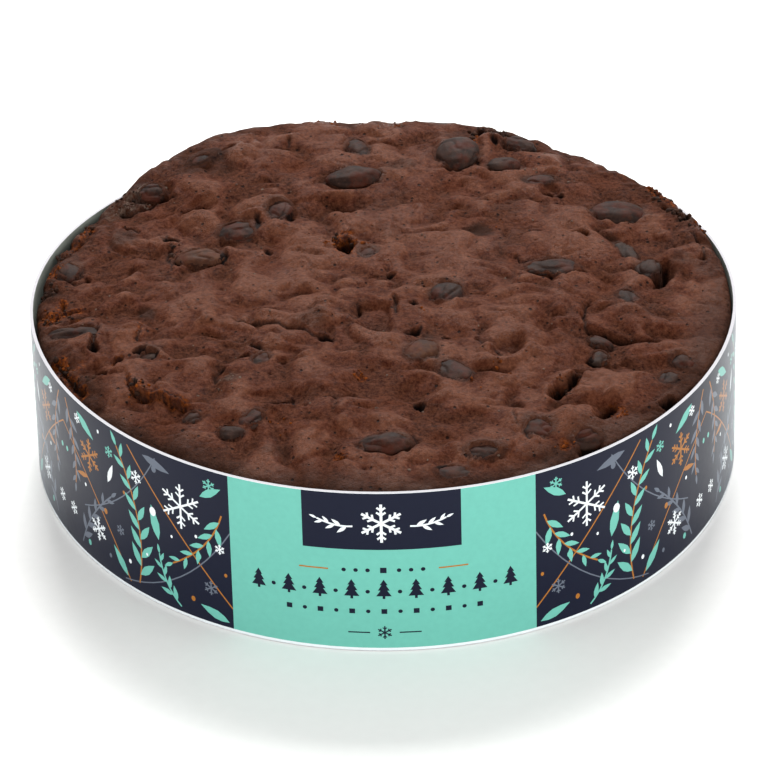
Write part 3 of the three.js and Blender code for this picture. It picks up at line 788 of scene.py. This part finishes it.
# how the skin meets the bare fruits
lap = {
    "tear": [(2.3, 0.14, 71), (0.9, 0.05, 72)],  # the torn edge's waves: size, height, draw
    # in front of a fruit: least share, how much more towards the front, width in mm
    "ditch": (0.08, 0.75, 0.7),
    "shadow": (0.05, 0.6, 0.45),
    "away": 0.1,  # mm from the fruit's rim to the middle of both
    "sunk": 0.9,  # how far the hidden skin lies below the fruit
    "usual": 0.36,  # share of a fruit that is lapped over, where not given below by its number
    "over": {
        0: 0.12, 1: 0.15, 2: 0.12, 3: 0.3, 4: 0.3, 5: 0.25, 6: 0.25, 7: 0.3, 8: 0.4, 9: 0.75, 10: 0.12,
        11: 0.1, 12: 0.2, 13: 0.3, 14: 0.15, 15: 0.15, 16: 0.3, 17: 0.7, 18: 0.35, 24: 0.4, 25: 0.25,
        26: 0.5, 35: 0.9,
    },
}


# the skin laps over the rim of each bare fruit with a torn edge, and sinks below it inside
def seatFruits(x, y, z, shares):
    for number, fruit in enumerate(fruits):
        middle, along, across, up, (halfLong, halfWide, half), spread = fruitSeat(fruit)
        near = np.hypot(x - fruit[1], y - fruit[2]) < halfLong + 5
        px, py = x[near] - middle.x, y[near] - middle.y
        pz = -(up.x * px + up.y * py) / up.z
        u = (px * along.x + py * along.y + pz * along.z) / halfLong
        v = (px * across.x + py * across.y + pz * across.z) / halfWide
        q = np.sqrt(u * u + v * v)
        top = middle.z + pz + half * np.sqrt(np.clip(1 - q * q, 0, 1)) / up.z
        tear = sum(height * spots(x[near], y[near], size, k) for size, height, k in lap["tear"])
        front = smooth(-0.5, 0.7, -py / (np.hypot(px, py) + 0.01))
        over = lap["over"].get(number, lap["usual"]) * (1.2 - 0.8 * front)
        away = q * spread + tear  # 1 where the fruit leaves the skin
        kept = smooth(1.0 - over - 0.05, 1.0 - over + 0.09, away)
        gap = (away - 1) * math.sqrt(halfLong * halfWide) - lap["away"]
        ditch, shadow = [(least + more * front) * np.exp(-((gap / reach) ** 2))
                         for least, more, reach in (lap["ditch"], lap["shadow"])]
        level = z[near] - min(fruit[6], 1.2) * ditch
        drape = np.where(q < 1, top + 0.1, level)
        covered = (level + drape + np.sqrt((level - drape) ** 2 + 0.05)) / 2
        covered = np.where(q < 1.05, covered, level)
        inside = np.where(q < 1, np.minimum(top - lap["sunk"], level), level)
        z[near] = inside * (1 - kept) + covered * kept
        # painted shadow in front of the fruit, where the light from behind does not reach
        shares["paintedShade"][near] = np.maximum(shares["paintedShade"][near], shadow)
        shares["fruitTintAndShade"][near] = np.maximum(shares["fruitTintAndShade"][near], 0.5 * smooth(1.5, 0.7, away))
    return z


# the top on hex rings, then the wall's rows down to the flat underside
def buildCake(material):
    form = cakeForm
    ring, angle, faces = ringGrid(form["rings"])
    flatRings = form["rings"] - form["shoulderRings"]
    width, drop = shoulder(angle)
    rounding = np.clip((ring - flatRings) / form["shoulderRings"], 0, 1) * math.pi / 2
    r = (topRadius(angle) - width) * np.minimum(ring / flatRings, 1) + width * np.sin(rounding)
    x, y = r * np.cos(angle), r * np.sin(angle)
    lift, shares = skinRelief(x, y)
    z = seatFruits(x, y, topHeight(x, y) + lift * np.cos(rounding), shares)
    z = z - drop * (1 - np.cos(rounding))
    inward = np.clip(lift, -1.2, 0.1) * np.sin(rounding)
    top = np.stack([x + inward * np.cos(angle), y + inward * np.sin(angle), z], 1)
    count = 6 * form["rings"]
    total = len(top)
    above = np.arange(total - count, total)
    around = np.arange(count) / count * 2 * math.pi
    base = form["baseEdge"]
    points = [top]
    allFaces = [faces]
    for share, inset, level in form["wallRows"]:
        height = z[-count:] * (1 - share) + level * base * share
        radius = wallRadius(around, np.minimum(height, band["height"])) - inset * base
        points.append(np.stack([radius * np.cos(around), radius * np.sin(around), height], 1))
        row = np.arange(total, total + count)
        total += count
        after = np.roll(above, -1)
        allFaces.append(np.stack([above, row, after], 1))
        allFaces.append(np.stack([after, row, np.roll(row, -1)], 1))
        above = row
    points.append(np.zeros((1, 3)))
    allFaces.append(np.stack([above, np.full(count, total), np.roll(above, -1)], 1))
    piece = makeMesh("cakeBody", np.concatenate(points), np.concatenate(allFaces), [material])
    for name, values in shares.items():
        addAttribute(piece, name, np.concatenate([values, np.zeros(total + 1 - len(values))]))
    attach(piece, "root")
    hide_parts("cake")
    return top


cakeTop = buildCake(bakedCrust())

print("crumbs")
crumbs = {
    "seed": 31, "stretch": (0.6, 1.3), "rough": (0.6, 1.2), "sunk": 0.15,
    # colours, reach of one crumb from and to, then places: x, y, reach, count
    "crumbRust": (("#74380b", "#260b03"), 0.22, 0.6, [
            (-12, 18, 2.2, 14), (-10, 22, 2.4, 12), (-5, 19, 2, 10), (48, 24, 1.8, 8), (41, -44, 3, 16),
            (51, -55, 3, 20), (-6, -40, 1.6, 14), (39, -67, 2.4, 14), (-79, 17, 2.5, 16), (-77, 27, 3, 18),
            (-74, 37, 3, 16), (-78, -3, 3.5, 30), (-75, -28, 3.5, 18), (68, 46, 2.5, 16), (71, 41, 2.5, 14),
            (78, 28, 2.5, 12), (0, 79, 6, 18), (-12, 78, 4, 10), (24, 67.5, 1.6, 14), (-57, -42, 3.5, 10),
            (9.5, -14, 1.2, 3), (24, -44, 5, 6), (-56, 22, 2, 3), (-10.5, -70, 1.8, 14), (-24, -58, 3, 8),
            (24.5, -38, 1.6, 6), (27, 27, 3, 4),
    ]),
    "crumbPale": (("#6b5a4f", "#3d2a22"), 0.16, 0.5, [
            (-62, 48, 5.5, 40), (-56, 45, 3, 12), (76, 33, 3, 12), (-36, -41, 3, 8), (6, 78, 4, 10),
            (0, 0, 76, 120), (44, 56, 10, 16), (30, 72, 6, 18),
    ]),
    "crumbCrust": (("#3b2419", "#140804"), 0.3, 1.1, [
            (69, 43, 4, 30), (73, 35, 3, 16), (77, 28, 2.5, 12), (26, 71, 4, 10), (34, 70, 3, 8),
            (-62, 48, 5, 16), (-78, 28, 4, 26), (-74, 38, 3, 12), (-79, 8, 4, 20), (-77, -4, 4, 20),
            (-75, -27, 4, 24), (-70, -35, 4, 16), (-56, -43, 3.5, 8), (49, -55, 3, 8), (40, -45, 3, 8),
            (60, 30, 2, 5), (-50, 20, 3, 6), (-10, 21, 3, 6),
    ]),
}


# Loose crumb: broken cake, dry and matt, caught on the crust by the hole it came from.
# It shows as small rough lumps, rust-orange, ash-pale or dark brown.
def looseCrumb(name, light, dark):
    material, shader, place, add = newMaterial(name)
    patches = add("TexNoise", {"Vector": place, "Scale": perMm(1.2), "Detail": 4}, "Fac")
    colour = add("ValToRGB", {"Fac": patches}, stops=[(0.38, dark), (0.62, light)])
    setInputs(shader, {"Base Color": colour, "Roughness": 0.85, "Specular IOR Level": 0.1})
    return material


def buildCrumbs():
    shape, faces = unitBall(1)
    rng = np.random.default_rng(crumbs["seed"])
    for name in ("crumbRust", "crumbPale", "crumbCrust"):
        (light, dark), small, large, places = crumbs[name]
        points, allFaces = [], []
        for x, y, reach, count in places:
            near = np.nonzero(np.hypot(cakeTop[:, 0] - x, cakeTop[:, 1] - y) < reach)[0]
            for spot in cakeTop[rng.choice(near, count)]:
                size = small + (large - small) * rng.random() ** 2
                stretch = rng.uniform(*crumbs["stretch"], 3)
                rough = rng.uniform(*crumbs["rough"], len(shape))
                allFaces.append(faces + len(points) * len(shape))
                sunk = spot - (0, 0, crumbs["sunk"] * size)
                points.append(sunk + shape * rough[:, None] * stretch * size)
        material = looseCrumb(name, light, dark)
        piece = makeMesh(name, np.concatenate(points), np.concatenate(allFaces), [material])
        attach(piece, "root")


buildCrumbs()

print("fruits")
fruitRelief = {
    "lump": 0.07,
    "fold": 0.3, "foldSize": (4.4, 2.2),  # depth, then size along and across, in mm
    "fine": 0.09, "fineSize": (1.3, 0.9),
    "apart": 7.7,  # how far apart two fruits' waves are taken
    "smooth": 0.35, "smoothOnes": [0, 2, 11, 18, 30],  # how much of the folds the smoother fruits keep
}


# waves through a fruit, drawn out along it
def skinWaves(points, size, shift, k):
    along, across = size
    return wavesDeep(points[:, 0] / along + shift, points[:, 1] / across, points[:, 2] / across, k)


def buildFruits():
    form = fruitRelief
    looks = {kind: driedSkin(kind) for kind in fruitLooks}
    p, faces = unitBall(5)
    counts = {}
    for number, fruit in enumerate(fruits):
        kind = fruit[0]
        counts[kind] = counts.get(kind, 0) + 1
        node = f"{kind}_{counts[kind]:02d}"
        middle, along, across, up, halves, _ = fruitSeat(fruit)
        lump = waves(p[:, 0] * 1.7 + number * 3.1, p[:, 1] * 1.7 + p[:, 2] * 1.3, 31)
        scaled = p * np.array(halves)
        shift = number * form["apart"]
        fold = smooth(0.62, 1.0, 1 - np.abs(skinWaves(scaled, form["foldSize"], shift, 51)))
        depth = form["fold"] * (form["smooth"] if number in form["smoothOnes"] else 1)
        inset = form["fine"] * skinWaves(scaled, form["fineSize"], shift, 61) - depth * fold
        local = scaled * (1 + form["lump"] * lump[:, None]) + p * inset[:, None]
        points = np.array(middle[:]) + local @ np.array([along[:], across[:], up[:]])
        piece = makeMesh(f"bare_{node}", points, faces, [looks[kind]])
        # the creases, which the skin paints darker as shade
        addAttribute(piece, "fold", 0.6 * fold)
        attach(piece, "root")
        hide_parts(node)


buildFruits()

print("card band")


# a strip of even width along points
def strip(points, width):
    sides = []
    for i, (x, z) in enumerate(points):
        (ax, az), (bx, bz) = points[max(i - 1, 0)], points[min(i + 1, len(points) - 1)]
        length = math.hypot(bx - ax, bz - az)
        sides.append((-(bz - az) / length * width / 2, (bx - ax) / length * width / 2))
    left = [(x + nx, z + nz) for (x, z), (nx, nz) in zip(points, sides)]
    right = [(x - nx, z - nz) for (x, z), (nx, nz) in zip(points, sides)]
    return left + right[::-1]


# points along a line bent by its middle point
def bend(start, middle, end, count):
    points = []
    for i in range(count + 1):
        t = i / count
        corners = zip(start, middle, end)
        points.append(tuple(a * (1 - t) ** 2 + 2 * b * t * (1 - t) + c * t * t for a, b, c in corners))
    return points


def oval(cx, cz, reach, side, turn=0.0, sides=12):
    c, s = math.cos(turn), math.sin(turn)
    points = []
    for i in range(sides):
        u = reach * math.cos(2 * math.pi * i / sides)
        v = side * math.sin(2 * math.pi * i / sides)
        points.append((cx + u * c - v * s, cz + u * s + v * c))
    return points


# a pointed leaf from its root along a direction
def leaf(x, z, turn, length, width):
    c, s = math.cos(turn), math.sin(turn)
    side = [(0, 0), (0.22, 0.36), (0.45, 0.5), (0.72, 0.34), (1, 0)]
    edge = [(u * length, v * width) for u, v in side] + [(u * length, -v * width) for u, v in side[-2:0:-1]]
    return [(x + u * c - v * s, z + u * s + v * c) for u, v in edge]


# a bent stem and the leaves along both its sides
def sprig(start, middle, end, pairs, length):
    stem = bend(start, middle, end, 2 * pairs)
    shapes = []
    for i in range(1, len(stem)):
        (ax, az), (bx, bz) = stem[i - 1], stem[i]
        turn = math.atan2(bz - az, bx - ax)
        size = length * (1 - 0.45 * i / len(stem))
        lean = 0.62 if i < len(stem) - 1 else 0.0
        shapes.append(leaf(bx, bz, turn + (lean if i % 2 else -lean), size, size * 0.33))
    return strip(stem, 0.42), shapes


def snowflake(cx, cz, radius, width):
    shapes = []
    twigs = ((0.42, 0.26), (0.68, 0.24)) if radius > 2.5 else ((0.55, 0.34),)
    for i in range(6):
        a = math.pi / 6 + i * math.pi / 3
        armX, armZ = radius * math.cos(a), radius * math.sin(a)
        shapes.append(strip([(cx, cz), (cx + armX, cz + armZ)], width))
        for share, size in twigs:
            x, z = cx + share * armX, cz + share * armZ
            for b in (a - 0.9, a + 0.9):
                end = (x + radius * size * math.cos(b), z + radius * size * math.sin(b))
                shapes.append(strip([(x, z), end], width * 0.8))
    return shapes


def firTree(cx, cz, height, width):
    right = [(0.5, 0.0), (0.22, 0.34), (0.38, 0.34), (0.15, 0.66), (0.26, 0.66), (0.0, 1.0)]
    left = [(-a, b) for a, b in reversed(right[:-1])]
    return [(cx + a * width, cz + b * height) for a, b in right + left]


def bar(cx, cz, length, width):
    return strip([(cx - length / 2, cz), (cx + length / 2, cz)], width)


close = 1e-3  # mm within which a point lies on an edge
bandPrint = {
    "topMargin": 0.08, "bottomMargin": 0.7,
    "panel": (-36.4, 32.4),  # the plain panel at the front, along the card from its middle
    "block": (-19.2, 15.4, 26.5),  # the dark block at the panel's top: from, to, lowest edge
    "cells": 8,  # repeats of the side pattern, every second one mirrored
    "cellWidth": 57.4,  # the width that one repeat below is drawn for
    "turnStep": 2.5,  # degrees between upright folds of the mesh
    "merge": 1e-4,  # mm within which the mesh's points are one
    # one repeat, as place along it and height; sprigs by the three points that bend their stem
    "sprigs": [
        ("turquoise", "copper", (27, 3), (23, 20), (33, 37), 7, 6.6),
        ("grey", "grey", (50, 3), (46, 13), (36, 22), 5, 5),
        ("turquoise", "copper", (2, 30), (5, 20), (16, 13), 5, 5.2),
        ("grey", "copper", (55.5, 39), (50, 28), (52, 18), 5, 5),
        ("turquoise", "turquoise", (14, 2), (19, 6), (20, 14), 4, 4.2),
    ],
    "flakes": [
        ("white", 13, 29, 5.8, 0.52), ("copper", 44.5, 29, 4.4, 0.5), ("white", 42, 10.5, 3.2, 0.42),
        ("turquoise", 5, 37, 1.7, 0.32), ("white", 26.5, 31.5, 1.8, 0.32), ("white", 54, 10, 1.8, 0.32),
        ("grey", 5.5, 10, 1.9, 0.34), ("turquoise", 36, 34, 1.5, 0.3), ("grey", 33, 14.5, 1.4, 0.3),
        ("white", 2.8, 21, 1.3, 0.28), ("white", 49.5, 36.5, 1.4, 0.28),
    ],
    "dots": [
        ("white", 21.5, 24.5, 1.2), ("turquoise", 8.5, 17.5, 0.9), ("copper", 38.5, 17, 0.8),
        ("white", 30, 7.5, 0.6), ("grey", 20.5, 36, 0.9), ("copper", 10.5, 5.5, 0.7),
        ("white", 47, 20, 0.5), ("turquoise", 56, 25, 0.7), ("grey", 37.5, 5.5, 0.6),
        ("copper", 31, 25.5, 0.5), ("white", 16, 20, 0.4), ("turquoise", 46.5, 4.5, 0.8),
        ("white", 24, 12, 0.4), ("white", 40, 37.5, 0.5), ("copper", 1.5, 14.5, 0.5),
        ("white", 9, 22.5, 0.45),
    ],
    "leaves": [
        ("turquoise", 20, 17.5, 1.35, 9, 2.6), ("turquoise", 31, 3, 0.9, 8, 2.3),
        ("turquoise", 1, 2, 0.35, 8, 2.4), ("turquoise", 49.5, 38.5, -2.6, 8.5, 2.4),
        ("white", 37, 25.5, 1.95, 6, 1.6), ("grey", 24, 38.5, -2.9, 8.5, 2.2),
        ("copper", 45.5, 22.8, -0.2, 5.5, 1.4), ("turquoise", 7.5, 33.5, 2.6, 6.5, 2),
    ],
    "curves": [
        ("copper", (0, 6), (14, 22), (29, 39), 0.34), ("copper", (57.4, 32), (42, 22), (30, 2), 0.34),
        ("grey", (20, 39), (29, 22), (48, 14), 0.3), ("grey", (0, 26), (12, 6), (32, 2), 0.3),
    ],
    "badge": {"flake": (4.9, 0.6), "down": 0.4, "sprig": ((6.2, -0.8), (10, -1.2), (14, 0.8), 3, 3.0)},
    # motifs down the panel: ink, shape, places right of their middle, height, sizes
    "right": 0.3,  # their middle, right of the panel's
    "motifs": [
        ("copper", bar, (-15.25, 15.25), 21.2, (6.5, 0.36)),
        ("navy", oval, (-8.6, -6, -3.4, 3.4, 6, 8.6), 21.2, (0.5, 0.5)),
        ("navy", oval, (0,), 21.2, (1, 1, math.pi / 4, 4)),
        ("navy", firTree, range(-28, 29, 7), 14.4, (4.4, 3.4)),
        ("navy", bar, range(-28, 29, 7), 14.05, (0.6, 0.7)),
        ("navy", oval, np.arange(-24.5, 25, 7), 15.6, (0.5, 0.5)),
        ("navy", oval, range(-21, 22, 7), 10.4, (0.9, 0.9, math.pi / 4, 4)),
        ("navy", oval, np.arange(-17.5, 18, 7), 10.4, (0.5, 0.5, math.pi / 4, 10)),
        ("navy", snowflake, (0,), 4.8, (1.7, 0.34)),
        ("navy", bar, (-5.6, 5.6), 4.8, (4.8, 0.34)),
    ],
}


# the side pattern as layers of ink, each an ink and an outline, the last laid on top
def sideLayers(low, top):
    layout = bandPrint
    left, right = layout["panel"]
    pitch = (2 * math.pi * band["radius"] - (right - left)) / layout["cells"]
    cell = []
    for ink, start, middle, end, width in layout["curves"]:
        cell.append((ink, strip(bend(start, middle, end, 12), width)))
    for ink, stemInk, start, middle, end, pairs, length in layout["sprigs"]:
        stem, leaves = sprig(start, middle, end, pairs, length)
        cell.append((stemInk, stem))
        cell.extend((ink, shape) for shape in leaves)
    for ink, u, z, turn, length, width in layout["leaves"]:
        cell.append((ink, leaf(u, z, turn, length, width)))
    for ink, u, z, radius, width in layout["flakes"]:
        cell.extend((ink, shape) for shape in snowflake(u, z, radius, width))
    for ink, u, z, reach in layout["dots"]:
        cell.append((ink, oval(u, z, reach * 0.8, reach)))
    layers = []
    for n in range(layout["cells"]):
        for ink, shape in cell:
            along = [(u / layout["cellWidth"] * pitch, min(max(z, low), top)) for u, z in shape]
            moved = [(right + n * pitch + (u if n % 2 == 0 else pitch - u), z) for u, z in along]
            layers.append((ink, moved))
    return layers


# the front panel as layers of ink
def panelLayers(low, top):
    layout = bandPrint
    left, right = layout["panel"]
    start, end, foot = layout["block"]
    layers = [
        ("turquoise", [(left, low), (right, low), (right, top), (left, top)]),
        ("navy", [(start, foot), (end, foot), (end, top), (start, top)]),
    ]
    badge = layout["badge"]
    x, z = (start + end) / 2, (foot + top) / 2 - badge["down"]
    layers.extend(("white", shape) for shape in snowflake(x, z, *badge["flake"]))
    *bends, pairs, length = badge["sprig"]
    for side in (-1, 1):
        stem, leaves = sprig(*[(x + side * u, z + v) for u, v in bends], pairs, length)
        layers.append(("white", stem))
        layers.extend(("white", shape) for shape in leaves)

    x = (left + right) / 2 + layout["right"]
    for ink, motif, places, height, sizes in layout["motifs"]:
        for u in places:
            shape = motif(x + u, height, *sizes)
            layers.extend((ink, part) for part in (shape if motif is snowflake else [shape]))
    return layers


def insideOutline(px, pz, shape):
    inside = np.zeros(len(px), bool)
    for (ax, az), (bx, bz) in zip(shape, shape[1:] + shape[:1]):
        if az == bz:
            continue
        crosses = (az > pz) != (bz > pz)
        inside ^= crosses & (px < (bx - ax) * (pz - az) / (bz - az) + ax)
    return inside


# the band laid flat: mm to a degree, the angles of the lap's ramp, and the band's two ends in mm
def bandSpan():
    perDegree = band["radius"] * math.pi / 180
    rampEnd = band["lapAngle"]
    rampStart = rampEnd - band["lapRamp"] / perDegree
    high = (rampEnd + 90) * perDegree + band["lapLength"]
    return perDegree, rampStart, rampEnd, high - 360 * perDegree, high


# the printed face laid flat and cut along every edge of the print: points, triangles and inks
def flatPrint(names):
    layout = bandPrint
    tall = band["height"]
    low, top = layout["bottomMargin"], tall - layout["topMargin"]
    perDegree, _, _, lowEnd, high = bandSpan()
    whole = 360 * perDegree
    coords, edges = [], []

    def addEdges(shape, closed):
        start = len(coords)
        coords.extend(Vector(p) for p in shape)
        ends = len(shape) if closed else len(shape) - 1
        edges.extend((start + i, start + (i + 1) % len(shape)) for i in range(ends))

    count = round(360 / layout["turnStep"])
    folds = [lowEnd + whole * i / count for i in range(count + 1)]
    ramps = [high - band["lapLength"] - band["lapRamp"] * share for share in (0, 0.25, 0.5, 0.75, 1)]
    for s in sorted(folds + ramps):
        addEdges([(s, 0), (s, tall)], False)
    for z in (0, low, top, tall):
        addEdges([(lowEnd, z), (high, z)], False)
    placed = []
    for ink, shape in sideLayers(low, top) + panelLayers(low, top):
        for shift in (0, -whole, whole):
            reach = [s + shift for s, _ in shape]
            if max(reach) <= lowEnd or min(reach) >= high:
                continue
            clipped = [(min(max(s + shift, lowEnd), high), z) for s, z in shape]
            placed.append((ink, clipped))
            addEdges(clipped, True)
    flat, _, triangles, *_ = delaunay_2d_cdt(coords, edges, [], 0, layout["merge"])
    flat = np.array([p[:] for p in flat])
    triangles = np.array([t[:] for t in triangles])
    heights = flat[triangles][:, :, 1]
    triangles = triangles[heights.max(1) - heights.min(1) > close]  # none lies along an edge
    ax, az = flat[triangles].mean(1).T
    slots = np.zeros(len(triangles), int)
    printed = (az > low) & (az < top)
    slots[printed] = names.index("navy")
    for ink, shape in placed:
        s, z = zip(*shape)
        near = printed & (ax > min(s)) & (ax < max(s)) & (az > min(z)) & (az < max(z))
        index = np.nonzero(near)[0]
        slots[index[insideOutline(ax[index], az[index], shape)]] = names.index(ink)
    return flat, triangles, slots


# triangles between two rows of points, each taking the nearer next step
def zipRows(lowRow, lowPlaces, topRow, topPlaces):
    i = j = 0
    faces = []
    while i < len(lowRow) - 1 or j < len(topRow) - 1:
        if j == len(topRow) - 1 or (i < len(lowRow) - 1 and lowPlaces[i + 1] <= topPlaces[j + 1]):
            faces.append((lowRow[i], topRow[j], lowRow[i + 1]))
            i += 1
        else:
            faces.append((lowRow[i], topRow[j], topRow[j + 1]))
            j += 1
    return np.array(faces)


def buildBand():
    names = list(inks)
    tall = band["height"]
    flat, triangles, slots = flatPrint(names)
    perDegree, rampStart, rampEnd, lowEnd, high = bandSpan()
    turn = flat[:, 0] / perDegree - 90
    angle = np.radians(turn)

    def shell(radius):
        return np.stack([radius * np.cos(angle), radius * np.sin(angle), flat[:, 1]], 1)

    outer = shell(cardRadius(angle, flat[:, 1]) + smooth(rampStart, rampEnd, turn) * band["card"])
    inner = shell(cardRadius(angle, flat[:, 1]) - band["card"])

    # the row of points along one side of the flat band, in order
    def rowAt(axis, level):
        row = np.nonzero(np.abs(flat[:, axis] - level) < close)[0]
        return row[np.argsort(flat[row, 1 - axis])]

    foot, rim = rowAt(1, 0), rowAt(1, tall)
    footIn = len(flat) + np.arange(len(foot))
    rimIn = len(flat) + len(foot) + np.arange(len(rim))
    points = [outer, inner[foot], inner[rim]]
    # the cut edges take the white board; the inner face takes the grey-green copy, painted shade
    edge, inside = len(names), len(names) + 1  # slots of the bare card
    faces = [(triangles, slots)]
    footQuads = (foot[:-1], footIn[:-1], footIn[1:], foot[1:])
    rimQuads = (rim[:-1], rim[1:], rimIn[1:], rimIn[:-1])
    for a, b, c, d in (footQuads, rimQuads):
        faces.append((np.stack([a, b, c], 1), edge))
        faces.append((np.stack([a, c, d], 1), edge))
    faces.append((zipRows(footIn, flat[foot, 0], rimIn, flat[rim, 0]), inside))
    freeRow, hiddenRow = rowAt(0, high), rowAt(0, lowEnd)
    for k in range(len(freeRow) - 1):  # the cut end of the lap
        m = min(k, len(hiddenRow) - 2)
        a, b, c, d = freeRow[k], hiddenRow[m], hiddenRow[m + 1], freeRow[k + 1]
        faces.append((np.array([[a, b, c], [a, c, d]]), edge))
    materials = [coatedBoard(f"coatedBoard{name.capitalize()}", inks[name]) for name in names]
    materials.extend(bareBoard(name, ink) for name, ink in boards.items())
    allFaces = np.concatenate([rows for rows, _ in faces])
    allSlots = np.concatenate([np.broadcast_to(slot, len(rows)) for rows, slot in faces])
    piece = makeMesh("printedBand", np.concatenate(points), allFaces, materials, allSlots)
    merge = bmesh.new()
    merge.from_mesh(piece.data)
    bmesh.ops.remove_doubles(merge, verts=merge.verts, dist=1e-6)
    merge.to_mesh(piece.data)
    merge.free()
    piece.data.set_sharp_from_angle(angle=math.radians(30))
    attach(piece, "root")
    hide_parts("card_band")


buildBand()

print("stage, light and camera")
stage = {
    "floorSize": 8.0, "floorDrop": 0.2, "floor": ("#f7f7f5", "#fbfbf9"), "world": 0.57,
    # name, place, aim, width, height, watts
    "lights": [
        ("back", (0.05, 1.05, 1.02), (0, 0, 0.04), 0.7, 0.5, 32.0),
        ("front", (0.1, -1.9, 0.55), (0, 0, 0.03), 1.6, 0.7, 24.0),
        ("left", (-1.5, -0.5, 0.5), (0, 0, 0.02), 0.9, 0.6, 4.5),
        ("right", (1.5, -0.5, 0.5), (0, 0, 0.02), 0.9, 0.6, 8.0),
    ],
}


# Studio paper: a wide roll of matt white paper under the cake.
# It shows as an even white floor that takes a soft shadow.
def studioPaper():
    material, shader, place, add = newMaterial("studioPaperFloor")
    dark, light = stage["floor"]
    tooth = add("TexNoise", {"Vector": place, "Scale": perMm(3)}, "Fac")
    colour = add("ValToRGB", {"Fac": tooth}, stops=[(0, dark), (1, light)])
    setInputs(shader, {"Base Color": colour, "Roughness": 0.9, "Specular IOR Level": 0.1})
    return material


def buildStage():
    half = stage["floorSize"] / 2 / mm
    corners = [(x * half, y * half, -stage["floorDrop"]) for x, y in ((-1, -1), (1, -1), (1, 1), (-1, 1))]
    floor = makeMesh("studioFloor", corners, [(0, 1, 2, 3)], [studioPaper()])
    world = bpy.data.worlds.new("studio")
    world.use_nodes = True
    background = world.node_tree.nodes["Background"]
    setInputs(background, {"Color": (1, 1, 1, 1), "Strength": stage["world"]})
    bpy.context.scene.world = world
    for name, place, aim, width, height, watts in stage["lights"]:
        data = bpy.data.lights.new(name, "AREA")
        data.shape = "RECTANGLE"
        data.size = width
        data.size_y = height
        data.energy = watts
        lamp = bpy.data.objects.new(name, data)
        lamp.location = place
        lamp.rotation_euler = (Vector(aim) - Vector(place)).to_track_quat("-Z", "Y").to_euler()
        bpy.context.scene.collection.objects.link(lamp)
    bpy.context.scene.view_settings.view_transform = "Standard"


# the camera stands in front of the cake, looking down on it
view = {
    "distance": 0.81939, "elevation": 31.079, "aimX": -0.00051, "aimZ": 0.01743, "roll": -1.49,
    "sensor": 36.0, "lens": 159.375,
}


def buildCamera():
    tilt = math.radians(view["elevation"])
    roll = math.radians(view["roll"])
    forward = Vector((0, math.cos(tilt), -math.sin(tilt)))
    level = Vector((1, 0, 0))
    steep = Vector((0, math.sin(tilt), math.cos(tilt)))
    right = level * math.cos(roll) + steep * math.sin(roll)
    up = steep * math.cos(roll) - level * math.sin(roll)
    data = bpy.data.cameras.new("camera")
    data.sensor_width = view["sensor"]
    data.lens = view["lens"]
    data.clip_start = 0.05
    data.clip_end = 50
    camera = bpy.data.objects.new("camera", data)
    place = Vector((view["aimX"], 0, view["aimZ"])) - forward * view["distance"]
    turned = Matrix((right, up, -forward)).transposed()
    camera.matrix_world = Matrix.Translation(place) @ turned.to_4x4()
    bpy.context.scene.collection.objects.link(camera)
    bpy.context.scene.camera = camera


buildStage()
buildCamera()
